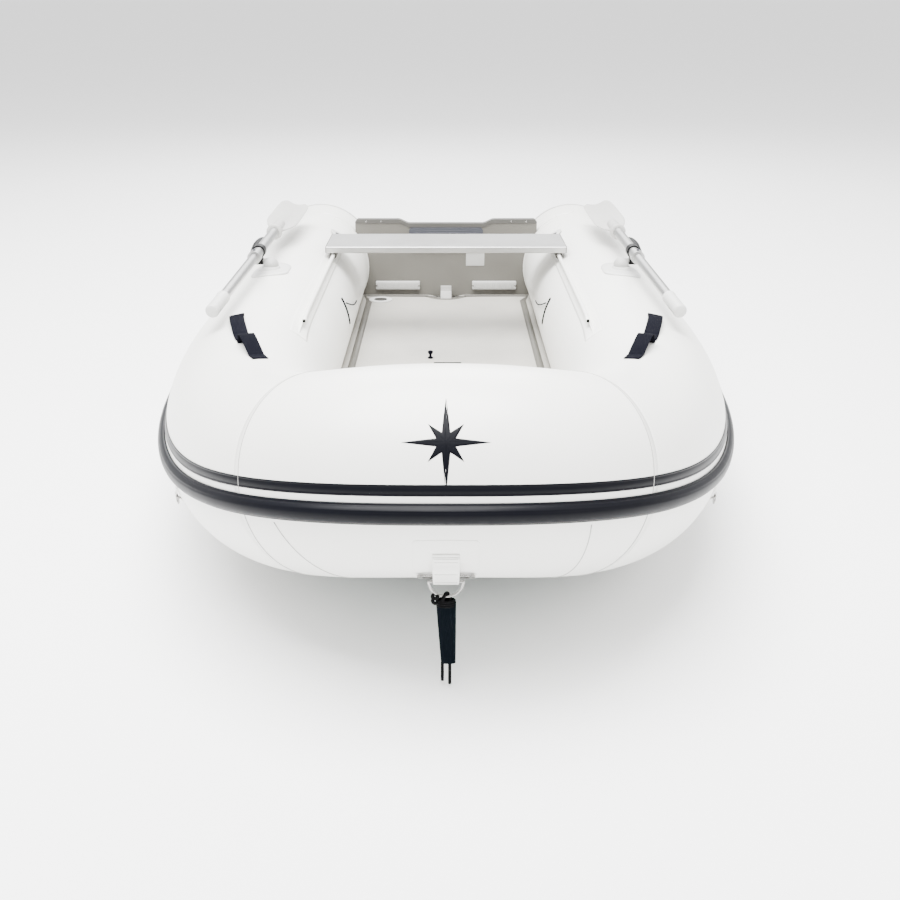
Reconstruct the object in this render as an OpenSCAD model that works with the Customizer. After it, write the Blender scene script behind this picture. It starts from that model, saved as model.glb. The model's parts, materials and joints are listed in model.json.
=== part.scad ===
// Inflatable dinghy, bow towards -Y, stern towards +Y, port side at +X.
// The hull is drawn level and then trimmed: it stands on its keel and on the two tube tails.

/* [Hull tubes] */
// Outside diameter of the inflated side tubes
tube_d = 420; // [380:5:450]
// Distance between the axes of the two side tubes
tube_spacing = 1048; // [980:4:1160]
// Length of the straight side tubes, aft of the bow curve
side_len = 1640; // [1580:10:1900]
// Length of the bow curve, ahead of the straight tubes
bow_len = 1072; // [1000:4:1200]
// Squareness of the bow in plan, 2 is an ellipse
bow_n = 2.3; // [2:0.05:2.6]
// Rise of the bow tube above the side tubes
bow_rise = 113; // [60:1:160]
// Thickness of the coated hull fabric
skin_t = 0.9; // [0.7:0.1:1.5]
// Length of the cone at the aft end of each tube
cone_len = 160; // [100:5:240]
// Radius of the closed end of each cone
cone_end_r = 105; // [60:5:150]

/* [Rubbing strake] */
// Width of the D-shaped rubber strake
strake_w = 43; // [30:1:60]
// Height of the strake above the tube
strake_proud = 18; // [10:1:24]
// Bare fabric between the strake and the flat stripe above it
stripe_gap = 12.5; // [6:0.5:20]
// Width of the flat stripe
stripe_w = 21.5; // [10:0.5:30]
// Thickness of the flat stripe
stripe_t = 1.6; // [1:0.1:3]

/* [Bottom] */
// Depth of the keel below the tubes, at its deepest station
keel_depth = 95; // [70:1:110]
// Distance of the deepest keel station ahead of the bow curve's start
keel_fwd = 650; // [600:10:700]
// Height of the air floor's underside above the tube bottoms
floor_z = 26; // [22:1:30]
// Thickness of the air floor
floor_t = 70; // [50:1:80]
// Forward end of the air floor, ahead of the bow curve's start
floor_fwd = 690; // [600:10:690]

/* [Transom] */
// Distance of the transom's forward face from the start of the bow curve
transom_y = 1395; // [1340:5:1450]
// Thickness of the transom board
transom_t = 27; // [20:1:32]
// Width of the transom board at its top
transom_w = 728; // [660:4:760]
// Height of the transom's shoulders above the tube bottoms
transom_top = 396; // [380:1:410]
// Drop of the engine cut-out below the shoulders
cutout_drop = 16; // [8:1:30]
// Width of the engine cut-out at its floor
cutout_w = 290; // [240:2:320]

/* [Seat] */
// Length of the seat from side to side
seat_len = 822; // [810:2:840]
// Width of the seat, fore and aft
seat_w = 246; // [200:2:280]
// Thickness of the seat's box section
seat_t = 22; // [18:1:30]
// Wall of the seat's box section
seat_wall = 1.6; // [1.2:0.1:3]
// Distance of the seat's middle from the start of the bow curve
seat_y = 806; // [780:2:820]
// Place of the seat rails round the tube, 0 outboard, 90 on top
rail_deg = 127; // [125:1:129]

/* [Oars] */
// Outside diameter of the oar's outer shaft
shaft_d = 32; // [28:1:34]
// Wall of the oar's two shafts
shaft_wall = 1.8; // [1.2:0.1:2.4]
// Length of the blade
blade_len = 490; // [420:5:520]
// Width of the blade
blade_w = 105; // [95:5:160]
// Length of the hand grip
grip_len = 140; // [110:5:160]
// Distance from the oarlock's middle to the inboard end of the grip
inboard_len = 682; // [640:2:700]
// Distance of the oarlocks from the start of the bow curve
lock_y = 344; // [320:2:380]

/* [Bow fittings] */
// Width of the folded strap that holds the bow ring
bow_strap_w = 51; // [40:1:60]
// Wire diameter of the bow ring
bow_ring_wire = 6; // [5:0.5:8]
// Length of the handle sleeve
sleeve_len = 142; // [110:2:142]
// Diameter of the handle cord
cord_d = 7; // [5:0.5:8]
// Wire diameter of the side rings
side_ring_wire = 4; // [3:0.5:5]

/* [Hidden] */
$fn = 48;

// Clearances
hull_skin_t = 1.1;
glue_gap = 0.4;      // between a bonded piece and the fabric under it
run_gap = 0.6;       // between moving pieces that only pass each other
fit_gap = 0.06;      // radial play of a running fit
wall_gap = 0.5;      // between fixed pieces that face each other

// Tubes
R = tube_d / 2;
A = tube_spacing / 2;
TUBE_SIDES = 40;
rise_start = 210;    // distance of the bow's first rise from the start of the curve
rise_pow = 4.4;      // sharpness of the bow's upturn
seam_deg = 64;       // place of the seam and baffle between a side tube and the bow tube
curve_rings = 10;    // rings along one side of the bow curve
bow_rings = 8;       // rings along the bow tube
inner_r = (R - skin_t) * cos(180 / TUBE_SIDES);   // clear radius inside the faceted tube

// Hull trim
cone_lap = 6;        // straight rim of each tail cone
stem_len = 333;      // length of the stem, from the deepest keel station to the bow tube
trim_deg = atan(keel_depth / (side_len + keel_fwd));
front_pt = [bow_len + R + strake_proud, R + bow_rise];
rear_pt = [side_len + cone_len, R + cone_end_r];
front_y = -front_pt[0] * cos(trim_deg) + front_pt[1] * sin(trim_deg);
rear_y = rear_pt[0] * cos(trim_deg) + rear_pt[1] * sin(trim_deg);
trim_shift = -(front_y + rear_y) / 2;
trim_lift = (side_len + cone_lap) * sin(trim_deg);

// Floor
floor_top = floor_z + floor_t;
floor_inset = sqrt(pow(R, 2) - pow(R - floor_top, 2)) + 2.6;   // floor edge to tube axis, in plan
floor_rear = transom_y - 5;
floor_scoop = 52;        // depth of the scoop in the floor's aft edge
floor_scoop_w = 150;     // width of that scoop
web_step = 80;           // spacing of the rows of drop-stitch yarns

// Valves
valve_r = 46;            // flange radius of a valve
valve_cap_r = 26;        // cap radius
valve_body_r = 30;       // radius of the body inside the chamber
valve_h = 3;             // height of the flange
valve_depth = 22;        // depth of the body below the fabric
floor_valve = [-262, transom_y - 108];
tube_valve_y = 1115;     // place of the side tubes' valves
tube_valve_deg = 127;
bow_valve_deg = 165;

// Transom fittings
pad_w = 296;
pad_t = 8;
inner_pad_h = 92;
outer_pad_h = 240;
cap_t = 2.6;
cap_h = 13;
cutout_slope = 48;       // run of each slope of the cut-out
corner_cut = 10;         // cut at the board's upper corners
flap_len = 104;
strap_half_w = 22;
board_bottom = 22;
retainer = [180, 19, 34];
retainer_lift = 21;      // retainer above the floor's face
retainer_x = 196;        // middle of a floor retainer, from the centre line
drain_r = 12.5;          // bore of the drain tube
drain_wall = 3;
drain_x = -62;
drain_z = 60;

// Seat rails
rope_r = 4.2;
bead_r = 6;
bead_out = 18;           // bolt rope centre above the tube
rail_foot = 56;          // width of the rail's bonded foot
rail_rear = 1000;
bead_end_deg = 7.4;      // forward end of the bead, on the bow curve
fin_end_deg = 11.3;      // forward end of the fin
channel_r = 11.5;
channel_len = 200;
bead_x = A + (R + bead_out) * cos(rail_deg);
bead_z = R + (R + bead_out) * sin(rail_deg);
seat_z = bead_z + channel_r;
end_cap_t = 3;
handle_w = 38;
line_d = 8;
grip_r = 15;

// Oars and oarlocks
lock_deg = 84;                       // place of the oarlock round the tube
pin_r = 8;
dome_r = 24;
dome_h = 26;
dome_bulge = 6;          // drop of the dome's arc centre below its shoulder
dome_flat = 20;          // flat on the dome's outboard side
pad_h = 12;
lock_x = A + R * cos(lock_deg);
lock_z = R + R * sin(lock_deg) + 1;
arm_z = 16;                          // dip axis above the oarlock pad's top
arm_r = 7;
shaft_rise = 30;                     // shaft axis above the dip axis
clamp_x = 33;                        // middle of the clamp, outboard of the swivel axis
clamp_w = 20;
shaft_r = shaft_d / 2;
inner_shaft_r = shaft_r - shaft_wall - fit_gap;
oar_toe = 1.4;                       // toe-out of the stowed oar, degrees
oar_tilt = 1.7;                      // rise of the stowed oar towards its blade, degrees
blade_roll = -12;                    // roll of the stowed blade, outer side up
joint_at = -95;                      // end of the outer shaft, from the clamp
outer_len = 410;                     // outer shaft from its end to the blade's socket end
blade_start = 290;                   // root of the blade, from the clamp
engage_len = 120;                    // overlap of the inner and outer shafts
button_r = 4;

// Bow fittings
bow_ring_deg = -62;                  // place of the ring's bar round the bow tube
ring_w = 74;
tow_ring_w = 112;
sleeve_w = 40;
sleeve_tip_w = 30;
sleeve_t = 14;
sleeve_drop = 12;                    // sleeve top below the middle of the ring's wire
cord_gap = 15;                       // spacing of the handle's two cord legs
tail_len = [44, 52];                 // cord tails below the sleeve
side_ring_at = [38, -21];            // station and place round the tube
side_ring_r = 19;
ring_lift = 6.6;         // side ring's bar above the tube
patch_t = 1.6;           // top of a ring patch above the tube

// ---- the tube's axis and its surface ----

function signed_pow(v, e) = sign(v) * pow(abs(v), e);

function rise_at(y) = bow_rise * pow(max(0, (-rise_start - y) / (bow_len - rise_start)), rise_pow);

// Axis of the tube: s <= 0 is the port side at y = -s, 0 to 180 the bow curve, over 180 starboard
function axis_pt(s) = s <= 0 ? [A, -s, R] : s >= 180 ? [-A, s - 180, R]
    : let (y = -bow_len * pow(sin(s), 2 / bow_n)) [A * signed_pow(cos(s), 2 / bow_n), y, R + rise_at(y)];

function unit(v) = v / norm(v);

function along(s) = s <= 0 ? [0, -1, 0] : s >= 180 ? [0, 1, 0] : unit(axis_pt(s + 0.4) - axis_pt(s - 0.4));

function outward(s) = unit(cross([0, 0, 1], along(s)));

function upward(s) = cross(along(s), outward(s));

// Point in the section plane at s, u outward and v upward from the tube's axis
function at(s, u, v) = axis_pt(s) + u * outward(s) + v * upward(s);

// The same by radius and angle, 0 outboard and 90 on top
function polar(s, r, deg) = at(s, r * cos(deg), r * sin(deg));

SIDE_S = concat([-side_len], [for (k = [0:curve_rings]) seam_deg * pow(k / curve_rings, 1.3)]);
BOW_S = [for (k = [0:bow_rings]) seam_deg + (180 - 2 * seam_deg) * k / bow_rings];
AROUND_S = concat(SIDE_S, [for (k = [1:bow_rings - 1]) BOW_S[k]],
    [for (k = [curve_rings:-1:0]) 180 - SIDE_S[k + 1]], [180 + side_len]);

function circle_ring(s, r, n) = [for (i = [0:n - 1]) polar(s, r, 360 * i / n)];

// A section given as [u, v] points, carried to every station in the list
function carried(stations, section) = [for (s = stations) [for (q = section) at(s, q[0], q[1])]];

// Solid through a list of rings that turn the same way round; band closes the ends of a thin curved section
module loft(rings, band = false) {
    n = len(rings[0]);
    m = len(rings);
    cap = band ? [for (i = [0:n / 2 - 2]) [i, i + 1, n - 2 - i, n - 1 - i]] : [[for (i = [0:n - 1]) i]];
    polyhedron(
        points = [for (ring = rings) each ring],
        faces = concat(
            cap,
            [for (k = [0:m - 2]) for (i = [0:n - 1]) [k * n + i, (k + 1) * n + i, (k + 1) * n + (i + 1) % n]],
            [for (k = [0:m - 2]) for (i = [0:n - 1]) [k * n + i, (k + 1) * n + (i + 1) % n, k * n + (i + 1) % n]],
            [for (f = cap) [for (i = [len(f) - 1:-1:0]) (m - 1) * n + f[i]]]),
        convexity = 10);
}

// ---- frames ----

// Sets the level hull down on its keel and tube tails
module on_trim() {
    translate([0, trim_shift, trim_lift]) rotate([-trim_deg, 0, 0]) children();
}

// Section frame at s: x outward, y upward, z along the tube
module at_station(s) {
    p = axis_pt(s);
    x = outward(s);
    y = upward(s);
    z = along(s);
    multmatrix([[x[0], y[0], z[0], p[0]], [x[1], y[1], z[1], p[1]], [x[2], y[2], z[2], p[2]], [0, 0, 0, 1]])
        children();
}

// Frame on the fabric: x out of the surface, y round the tube, z along it
module on_skin(s, deg, lift = 0) {
    at_station(s) rotate([0, 0, deg]) translate([R + lift, 0, 0]) children();
}

module both_sides() {
    children();
    mirror([1, 0, 0]) children();
}

// ---- shapes used more than once ----

module rounded_plate(w, h, r, t) {
    linear_extrude(t) {
        square([w - 2 * r, h], center = true);
        square([w, h - 2 * r], center = true);
        for (x = [-1, 1], y = [-1, 1]) translate([x * (w / 2 - r), y * (h / 2 - r)]) circle(r);
    }
}

// Bonded patch that follows the tube, arc_w wide round it and len long
module skin_patch(s, deg, arc_w, len, t, lift = glue_gap) {
    sweep_deg = arc_w / R * 180 / PI;
    at_station(s) translate([0, 0, -len / 2]) rotate([0, 0, deg - sweep_deg / 2])
        rotate_extrude(angle = sweep_deg, $fn = 200) translate([R + lift, 0]) square([t, len]);
}

// Flat strap along the tube through [station, height above the tube] points
function strap_ring(s, lift, deg, w, t) = [
    for (c = [[0, -1], [t, -1], [t, 1], [0, 1]])
        at(s, (R + lift + c[0]) * cos(deg) - c[1] * w / 2 * sin(deg),
            (R + lift + c[0]) * sin(deg) + c[1] * w / 2 * cos(deg))
];

module strap(route, deg, w, t) {
    loft([for (p = route) strap_ring(p[0], p[1], deg, w, t)]);
}

function perp(v) = unit(abs(v[2]) > 0.9 ? cross(v, [1, 0, 0]) : cross(v, [0, 0, 1]));

// Round cord through a list of points
module cord_tube(pts, d, n = 8) {
    last = len(pts) - 1;
    dirs = [for (i = [0:last]) unit(pts[min(i + 1, last)] - pts[max(i - 1, 0)])];
    side = perp(pts[last] - pts[0]);
    loft([for (i = [0:last]) let (z = dirs[i], y = unit(cross(z, side)), x = cross(y, z))
        [for (k = [0:n - 1]) pts[i] + d / 2 * (cos(360 * k / n) * x + sin(360 * k / n) * y)]]);
}

// ---- hull ----

module tube_shell(stations, overrun) {
    last = len(stations) - 1;
    inside = [for (i = [0:last]) i == 0 ? stations[0] - overrun : i == last ? stations[last] + 0.2 : stations[i]];
    difference() {
        loft([for (s = stations) circle_ring(s, R, TUBE_SIDES)]);
        loft([for (s = inside) circle_ring(s, R - skin_t, TUBE_SIDES)]);
    }
}

module bow_tube() {
    color("whitesmoke") on_trim() difference() {
        tube_shell(BOW_S, 0.2);
        on_skin(90, bow_valve_deg, -15) rotate([0, 90, 0]) cylinder(h = 30, r = valve_body_r + wall_gap);
    }
}

module side_tube() {
    difference() {
        tube_shell(SIDE_S, 1);
        on_skin(-tube_valve_y, tube_valve_deg, -15) rotate([0, 90, 0])
            cylinder(h = 30, r = valve_body_r + wall_gap);
    }
}

module port_tube() {
    color("whitesmoke") on_trim() side_tube();
}

module starboard_tube() {
    color("whitesmoke") on_trim() mirror([1, 0, 0]) side_tube();
}

// Domed cloth diaphragm between two chambers
module baffle() {
    rim_r = inner_r - glue_gap;
    dome = 1.3 * rim_r;
    depth = sqrt(pow(dome, 2) - pow(rim_r, 2));
    at_station(seam_deg) intersection() {
        translate([0, 0, depth]) difference() {
            sphere(dome, $fn = 96);
            sphere(dome - skin_t, $fn = 96);
        }
        translate([0, 0, -dome]) cylinder(h = dome, r = dome);
    }
}

module tube_baffles() {
    color("gainsboro") on_trim() both_sides() baffle();
}

module tail_cones() {
    color("whitesmoke") on_trim() both_sides() translate([A, side_len, R]) rotate([-90, 0, 0])
        rotate_extrude($fn = 120) polygon([
            [R - skin_t, 0], [R, 0], [R, cone_lap], [cone_end_r, cone_len - 6], [cone_end_r - 8, cone_len],
            [0, cone_len], [0, cone_len - skin_t], [cone_end_r - 9, cone_len - skin_t],
            [cone_end_r - skin_t, cone_len - 7], [R - skin_t, cone_lap]]);
}

function skin_u(v, lift) = sqrt(pow(R, 2) - pow(v, 2)) + lift;

module rub_strake() {
    h = strake_w / 2;
    section = [
        [skin_u(h, glue_gap), -h], [skin_u(h, 4), -h], [R + strake_proud * 0.55, -0.66 * h],
        [R + strake_proud * 0.9, -0.34 * h], [R + strake_proud, 0], [R + strake_proud * 0.9, 0.34 * h],
        [R + strake_proud * 0.55, 0.66 * h], [skin_u(h, 4), h], [skin_u(h, glue_gap), h], [R + glue_gap, 0]];
    color("midnightblue") on_trim() loft(carried(AROUND_S, section));
}

module strake_stripe() {
    low = (strake_w / 2 + stripe_gap) / R * 180 / PI;
    high = low + stripe_w / R * 180 / PI;
    color("midnightblue") on_trim() loft([for (s = AROUND_S) [
        polar(s, R + glue_gap, low), polar(s, R + stripe_t, low),
        polar(s, R + stripe_t, high), polar(s, R + glue_gap, high)]]);
}

// Height of the hull skin's lowest line at y
stem_end_z = polar(84, R, -115)[2];
function keel_z(y) = y > -keel_fwd ? -keel_depth * (transom_y - y) / (transom_y + keel_fwd)
    : -keel_depth + (stem_end_z + keel_depth) * pow((-keel_fwd - y) / stem_len, 2);

function skin_row(s, steps, lift) = let (edge = polar(s, R + glue_gap + hull_skin_t, -115), e = 0.12)
    [for (i = [0:steps]) let (w = 2 * i / steps - 1, f = (sqrt(w * w + e * e) - e) / (sqrt(1 + e * e) - e))
        [edge[0] * w, edge[1], keel_z(edge[1]) + (edge[2] - keel_z(edge[1])) * f + lift]];

SKIN_S = concat([for (k = [0:9]) (transom_y + transom_t) * (k / 10 - 1)], [for (k = [0:12]) 84 * pow(k / 12, 1.2)]);

module hull_skin() {
    color("lightgray") on_trim()
        loft([for (s = SKIN_S) concat(skin_row(s, 14, 0), [for (p = [14:-1:0]) skin_row(s, 14, hull_skin_t)[p]])],
            band = true);
}

module keel_tube() {
    front = -(keel_fwd - 60);
    rear = transom_y - 65;
    room = 4;                                        // above the hull skin and below the floor
    r1 = (floor_z - room - keel_z(front) - room) / 2;
    r2 = (floor_z - room - keel_z(rear) - room) / 2;
    z1 = floor_z - room - r1;
    z2 = floor_z - room - r2;
    long = norm([rear - front, z2 - z1]);
    color("gainsboro") on_trim() translate([0, front, z1]) rotate([-90 + atan((z2 - z1) / (rear - front)), 0, 0])
        difference() {
            cylinder(h = long, r1 = r1, r2 = r2);
            translate([0, 0, skin_t]) cylinder(h = long - 2 * skin_t, r1 = r1 - skin_t, r2 = r2 - skin_t);
        }
}

// ---- air floor ----

FLOOR_S = [for (k = [0:16]) seam_deg * pow(k / 16, 1.15)];

// Port half of the floor's outline, d inside its edge, from the stern forwards
function floor_half(d, rear) = let (
    side = [for (s = FLOOR_S) let (p = at(s, -(floor_inset + d), 0)) if (p[1] > d - floor_fwd) [p[0], p[1]]],
    last = side[len(side) - 1])
    concat([[side[0][0], rear]], side, [[last[0] - 12, d - floor_fwd]]);

function mirrored(pts) = [for (i = [len(pts) - 1:-1:0]) [-pts[i][0], pts[i][1]]];

function scoop() = [for (k = [-8:8]) [floor_scoop_w * k / 16, floor_rear - floor_scoop * (1 + cos(22.5 * k)) / 2]];

module floor_room(d) {
    rear = floor_rear - floor_scoop - 4 * skin_t;
    translate([0, 0, floor_z + d]) linear_extrude(floor_t - 2 * d)
        polygon(concat(floor_half(d, rear), mirrored(floor_half(d, rear))));
}

module floor_skin() {
    color("silver") on_trim() difference() {
        translate([0, 0, floor_z]) linear_extrude(floor_t)
            polygon(concat(floor_half(0, floor_rear), mirrored(floor_half(0, floor_rear)), scoop()));
        floor_room(skin_t);
        translate([floor_valve[0], floor_valve[1], floor_top - 10]) cylinder(h = 20, r = valve_body_r + wall_gap);
    }
}

// Rows of yarns that hold the floor's two faces flat
module drop_stitch_yarns() {
    color("lightgray") on_trim() difference() {
        intersection() {
            floor_room(skin_t + 1);
            for (y = [-floor_fwd + 60:web_step:transom_y - 90])
                translate([-A, y, floor_z]) cube([2 * A, 0.4, floor_t]);
        }
        translate([floor_valve[0], floor_valve[1], floor_z]) cylinder(h = floor_t, r = valve_body_r + 6);
    }
}

// ---- valves ----

// Flanged valve body: the flange lies on z = 0 and the body hangs below it
module valve_body() {
    difference() {
        union() {
            cylinder(h = valve_h, r = valve_r);
            translate([0, 0, -valve_depth]) cylinder(h = valve_depth + valve_h, r = valve_body_r);
        }
        translate([0, 0, 3 - valve_depth]) cylinder(h = 40, r = valve_cap_r + run_gap);
    }
}

// Screwed cap with a finger bar, sunk in the valve body
module valve_cap() {
    translate([0, 0, -4]) cylinder(h = 7, r = valve_cap_r);
    translate([0, 0, 5 - valve_depth]) cylinder(h = valve_depth - 9, r = valve_cap_r - 5);
    translate([0, 0, 3]) intersection() {
        cylinder(h = 4, r = valve_cap_r - 4);
        translate([-valve_cap_r, -3.5, 0]) cube([2 * valve_cap_r, 7, 4]);
    }
}

module at_floor_valve() {
    translate([floor_valve[0], floor_valve[1], floor_top + glue_gap]) children();
}

module at_side_valve() {
    on_skin(-tube_valve_y, tube_valve_deg, glue_gap) rotate([0, 90, 0]) children();
}

module at_bow_valve() {
    on_skin(90, bow_valve_deg, glue_gap) rotate([0, 90, 0]) children();
}

module valve_bodies() {
    color("gainsboro") on_trim() {
        at_floor_valve() valve_body();
        both_sides() at_side_valve() difference() {
            valve_body();
            translate([0, 0, -R - glue_gap]) rotate([90, 0, 0]) difference() {
                cylinder(h = 3 * valve_r, r = R + glue_gap, center = true, $fn = 120);
                cylinder(h = 3 * valve_r, r = R - skin_t - glue_gap, center = true, $fn = 120);
                rotate([-90, 0, 0]) cylinder(h = 2 * R, r = valve_body_r + 0.1);
            }
        }
        difference() {
            at_bow_valve() valve_body();
            difference() {
                loft([for (s = BOW_S) circle_ring(s, R + glue_gap, TUBE_SIDES)]);
                loft([for (s = BOW_S) circle_ring(s, R - skin_t - glue_gap, TUBE_SIDES)]);
                at_bow_valve() translate([0, 0, -R]) cylinder(h = 2 * R, r = valve_body_r + 0.1);
            }
        }
    }
}

module floor_valve_cap() {
    color("dimgray") on_trim() at_floor_valve() valve_cap();
}

module port_valve_cap() {
    color("dimgray") on_trim() at_side_valve() valve_cap();
}

module starboard_valve_cap() {
    color("dimgray") on_trim() mirror([1, 0, 0]) at_side_valve() valve_cap();
}

module bow_valve_cap() {
    color("dimgray") on_trim() at_bow_valve() valve_cap();
}

// ---- transom ----

function smooth(t) = let (c = max(0, min(1, t))) c * c * (3 - 2 * c);

function transom_edge(x) = transom_top - cutout_drop * (1 - smooth((abs(x) - cutout_w / 2) / cutout_slope));

EDGE_X = concat([-transom_w / 2 + corner_cut],
    [for (k = [8:-1:0]) -cutout_w / 2 - cutout_slope * k / 8],
    [for (k = [0:8]) cutout_w / 2 + cutout_slope * k / 8], [transom_w / 2 - corner_cut]);

// Strip of the board's outline, from low to high relative to its top edge
module edge_band(low, high, wide, t) {
    last = len(EDGE_X) - 1;
    side = transom_w / 2 + wide;
    translate([0, transom_y + (transom_t + t) / 2, 0]) rotate([90, 0, 0]) linear_extrude(t) polygon(concat(
        [[-side, transom_top + low], [-side, transom_top + high - corner_cut]],
        [for (i = [0:last]) [EDGE_X[i], transom_edge(EDGE_X[i]) + high]],
        [[side, transom_top + high - corner_cut], [side, transom_top + low]],
        [for (i = [last:-1:0]) [EDGE_X[i], transom_edge(EDGE_X[i]) + low]]));
}

module transom_board() {
    side = transom_w / 2;
    color("tan") on_trim() difference() {
        translate([0, transom_y + transom_t, 0]) rotate([90, 0, 0]) linear_extrude(transom_t) polygon(concat(
            [[-side, board_bottom], [-side, transom_top - corner_cut]],
            [for (x = EDGE_X) [x, transom_edge(x)]],
            [[side, transom_top - corner_cut], [side, board_bottom]]));
        both_sides() translate([A, transom_y - 1, R]) rotate([-90, 0, 0])
            cylinder(h = transom_t + 2, r = R + wall_gap, $fn = 120);
        translate([drain_x, transom_y - 1, drain_z]) rotate([-90, 0, 0])
            cylinder(h = transom_t + 2, r = drain_r + drain_wall + fit_gap);
    }
}

module transom_cap() {
    color("gray") on_trim() difference() {
        edge_band(-cap_h, cap_t, 0, transom_t + 2 * cap_t);
        edge_band(-cap_h - 1, fit_gap, 1, transom_t + 2 * fit_gap);
    }
}

module motor_pads() {
    top = transom_top - cutout_drop - cap_h - 1;
    color("slategray") on_trim() {
        translate([0, transom_y - wall_gap, top - inner_pad_h / 2]) rotate([90, 0, 0])
            rounded_plate(pad_w, inner_pad_h, 12, pad_t);
        translate([0, transom_y + transom_t + wall_gap + pad_t, top - outer_pad_h / 2]) rotate([90, 0, 0])
            rounded_plate(pad_w, outer_pad_h, 12, pad_t);
    }
}

module floor_retainers() {
    color("darkgray") on_trim() both_sides()
        translate([retainer_x, transom_y - wall_gap, floor_top + retainer_lift + retainer[2] / 2])
            rotate([90, 0, 0]) rounded_plate(retainer[0], retainer[2], 5, retainer[1]);
}

// Webbing that holds the floor's aft edge to the transom
module centre_strap() {
    t = 2.4;
    y = transom_y - wall_gap;
    lip = floor_rear - floor_scoop - 6;
    color("gray") on_trim() translate([strap_half_w, 0, 0]) rotate([90, 0, -90]) linear_extrude(2 * strap_half_w)
        polygon([[-y, floor_top + 34], [t - y, floor_top + 34], [t - y, floor_top + 14],
            [-lip, floor_top + 1 + t], [28 - lip, floor_top + 1 + t], [28 - lip, floor_top + 1],
            [-lip, floor_top + 1], [-y, floor_top + 11]]);
}

// Fabric gusset that laps onto each tube behind the board
module transom_flaps() {
    rear = transom_y + transom_t + cap_t + 2;
    color("gainsboro") on_trim() both_sides() skin_patch(-rear - flap_len / 2, 118, 190, flap_len, 1.4);
}

module drain_tube() {
    flange = 2.2;
    color("dimgray") on_trim() translate([drain_x, transom_y - flange - wall_gap, drain_z]) rotate([-90, 0, 0])
        difference() {
            union() {
                cylinder(h = transom_t + 2 * flange + 2 * wall_gap, r = drain_r + drain_wall);
                cylinder(h = flange, r = drain_r + 9);
                translate([0, 0, transom_t + flange + 2 * wall_gap]) cylinder(h = flange, r = drain_r + 9);
            }
            translate([0, 0, -1]) cylinder(h = transom_t + 9, r = drain_r);
        }
}

module drain_plug() {
    out = transom_t + 2.2 + wall_gap + run_gap;
    color("black") on_trim() translate([drain_x, transom_y, drain_z]) rotate([-90, 0, 0]) {
        translate([0, 0, 6]) cylinder(h = out - 6, r = drain_r - fit_gap);
        translate([0, 0, out]) cylinder(h = 4, r = drain_r + 5);
        translate([-3, -drain_r, out + 4]) cube([6, 2 * drain_r, 12]);
    }
}

// ---- seat and its rails ----

// Section point at radius r and w across, about the line of the seat rail
function rail_pt(r, w) = [r * cos(rail_deg) - w * sin(rail_deg), r * sin(rail_deg) + w * cos(rail_deg)];

function arc_section(r0, r1, d0, d1, n) = concat(
    [for (i = [0:n]) let (d = d0 + (d1 - d0) * i / n) [r1 * cos(d), r1 * sin(d)]],
    [for (i = [n:-1:0]) let (d = d0 + (d1 - d0) * i / n) [r0 * cos(d), r0 * sin(d)]]);

function disc_section(r, n) = let (c = rail_pt(R + bead_out, 0))
    [for (i = [0:n - 1]) [c[0] + r * cos(360 * i / n), c[1] + r * sin(360 * i / n)]];

BEAD_S = [-rail_rear, 0, 3.2, bead_end_deg];
FIN_S = [-rail_rear, 0, 3.2, bead_end_deg, fin_end_deg];

module seat_rails() {
    foot_deg = rail_foot / 2 / R * 180 / PI;
    fin_top = R + bead_out - (bead_r + rope_r) / 2;
    color("whitesmoke") on_trim() both_sides() {
        difference() {
            union() {
                loft(carried(FIN_S, arc_section(R + glue_gap, R + 1.6, rail_deg - foot_deg, rail_deg + foot_deg, 4)));
                loft(carried(FIN_S, [rail_pt(R + 1.2, -1.1), rail_pt(fin_top, -1.1), rail_pt(fin_top, 1.1),
                    rail_pt(R + 1.2, 1.1)]));
                loft(carried(BEAD_S, disc_section(bead_r, 16)));
            }
            loft(carried([-rail_rear - 2, 0, 3.2, bead_end_deg + 0.2], disc_section(rope_r + 0.3, 12)));
        }
    }
}

module bolt_ropes() {
    color("black") on_trim() both_sides()
        loft(carried([-rail_rear - 4, 0, 3.2, bead_end_deg + 0.2], disc_section(rope_r, 12)));
}

module seat_plank() {
    cells = 4;
    cell = (seat_w - seat_wall * (cells + 1)) / cells;
    color("silver") on_trim() translate([-seat_len / 2 + end_cap_t, seat_y, seat_z + seat_t / 2])
        rotate([90, 0, 90]) difference() {
            rounded_plate(seat_w, seat_t, 4, seat_len - 2 * end_cap_t);
            for (i = [0:cells - 1]) translate([seat_wall - seat_w / 2 + i * (cell + seat_wall), seat_wall - seat_t / 2, -1])
                cube([cell, seat_t - 2 * seat_wall, seat_len]);
        }
}

module seat_end_caps() {
    color("gray") on_trim() both_sides()
        translate([seat_len / 2 - end_cap_t, seat_y, seat_z + seat_t / 2]) rotate([90, 0, 90])
            rounded_plate(seat_w, seat_t, 4, end_cap_t);
}

// Channels under the seat that run on the bolt ropes
module seat_channels() {
    color("dimgray") on_trim() both_sides()
        translate([bead_x, seat_y + channel_len / 2, bead_z]) rotate([90, 0, 0]) linear_extrude(channel_len)
            difference() {
                union() {
                    circle(channel_r);
                    translate([-channel_r, 0]) square([2 * channel_r, channel_r]);
                }
                circle(bead_r + run_gap);
                rotate(rail_deg + 180) translate([0, -1.1 - run_gap]) square([2 * channel_r, 2.2 + 2 * run_gap]);
            }
}

// ---- straps and handles ----

// Webbing handles on the shoulders: [station, height of the strap above the fabric]
AFT_HANDLE = [[8.8, 0.4], [10.2, 0.4], [10.8, 7], [11.4, 11], [12.2, 12], [13.6, 12], [15.6, 11], [17.6, 8],
    [19, 4], [20, 0.4], [22.6, 0.4]];
FORE_HANDLE = [[23, 0.4], [24.2, 0.4], [24.8, 14], [25.4, 24], [26.2, 27], [27.4, 25], [29, 19], [30.8, 11],
    [32.2, 4], [33, 0.4], [35.4, 0.4]];

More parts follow.
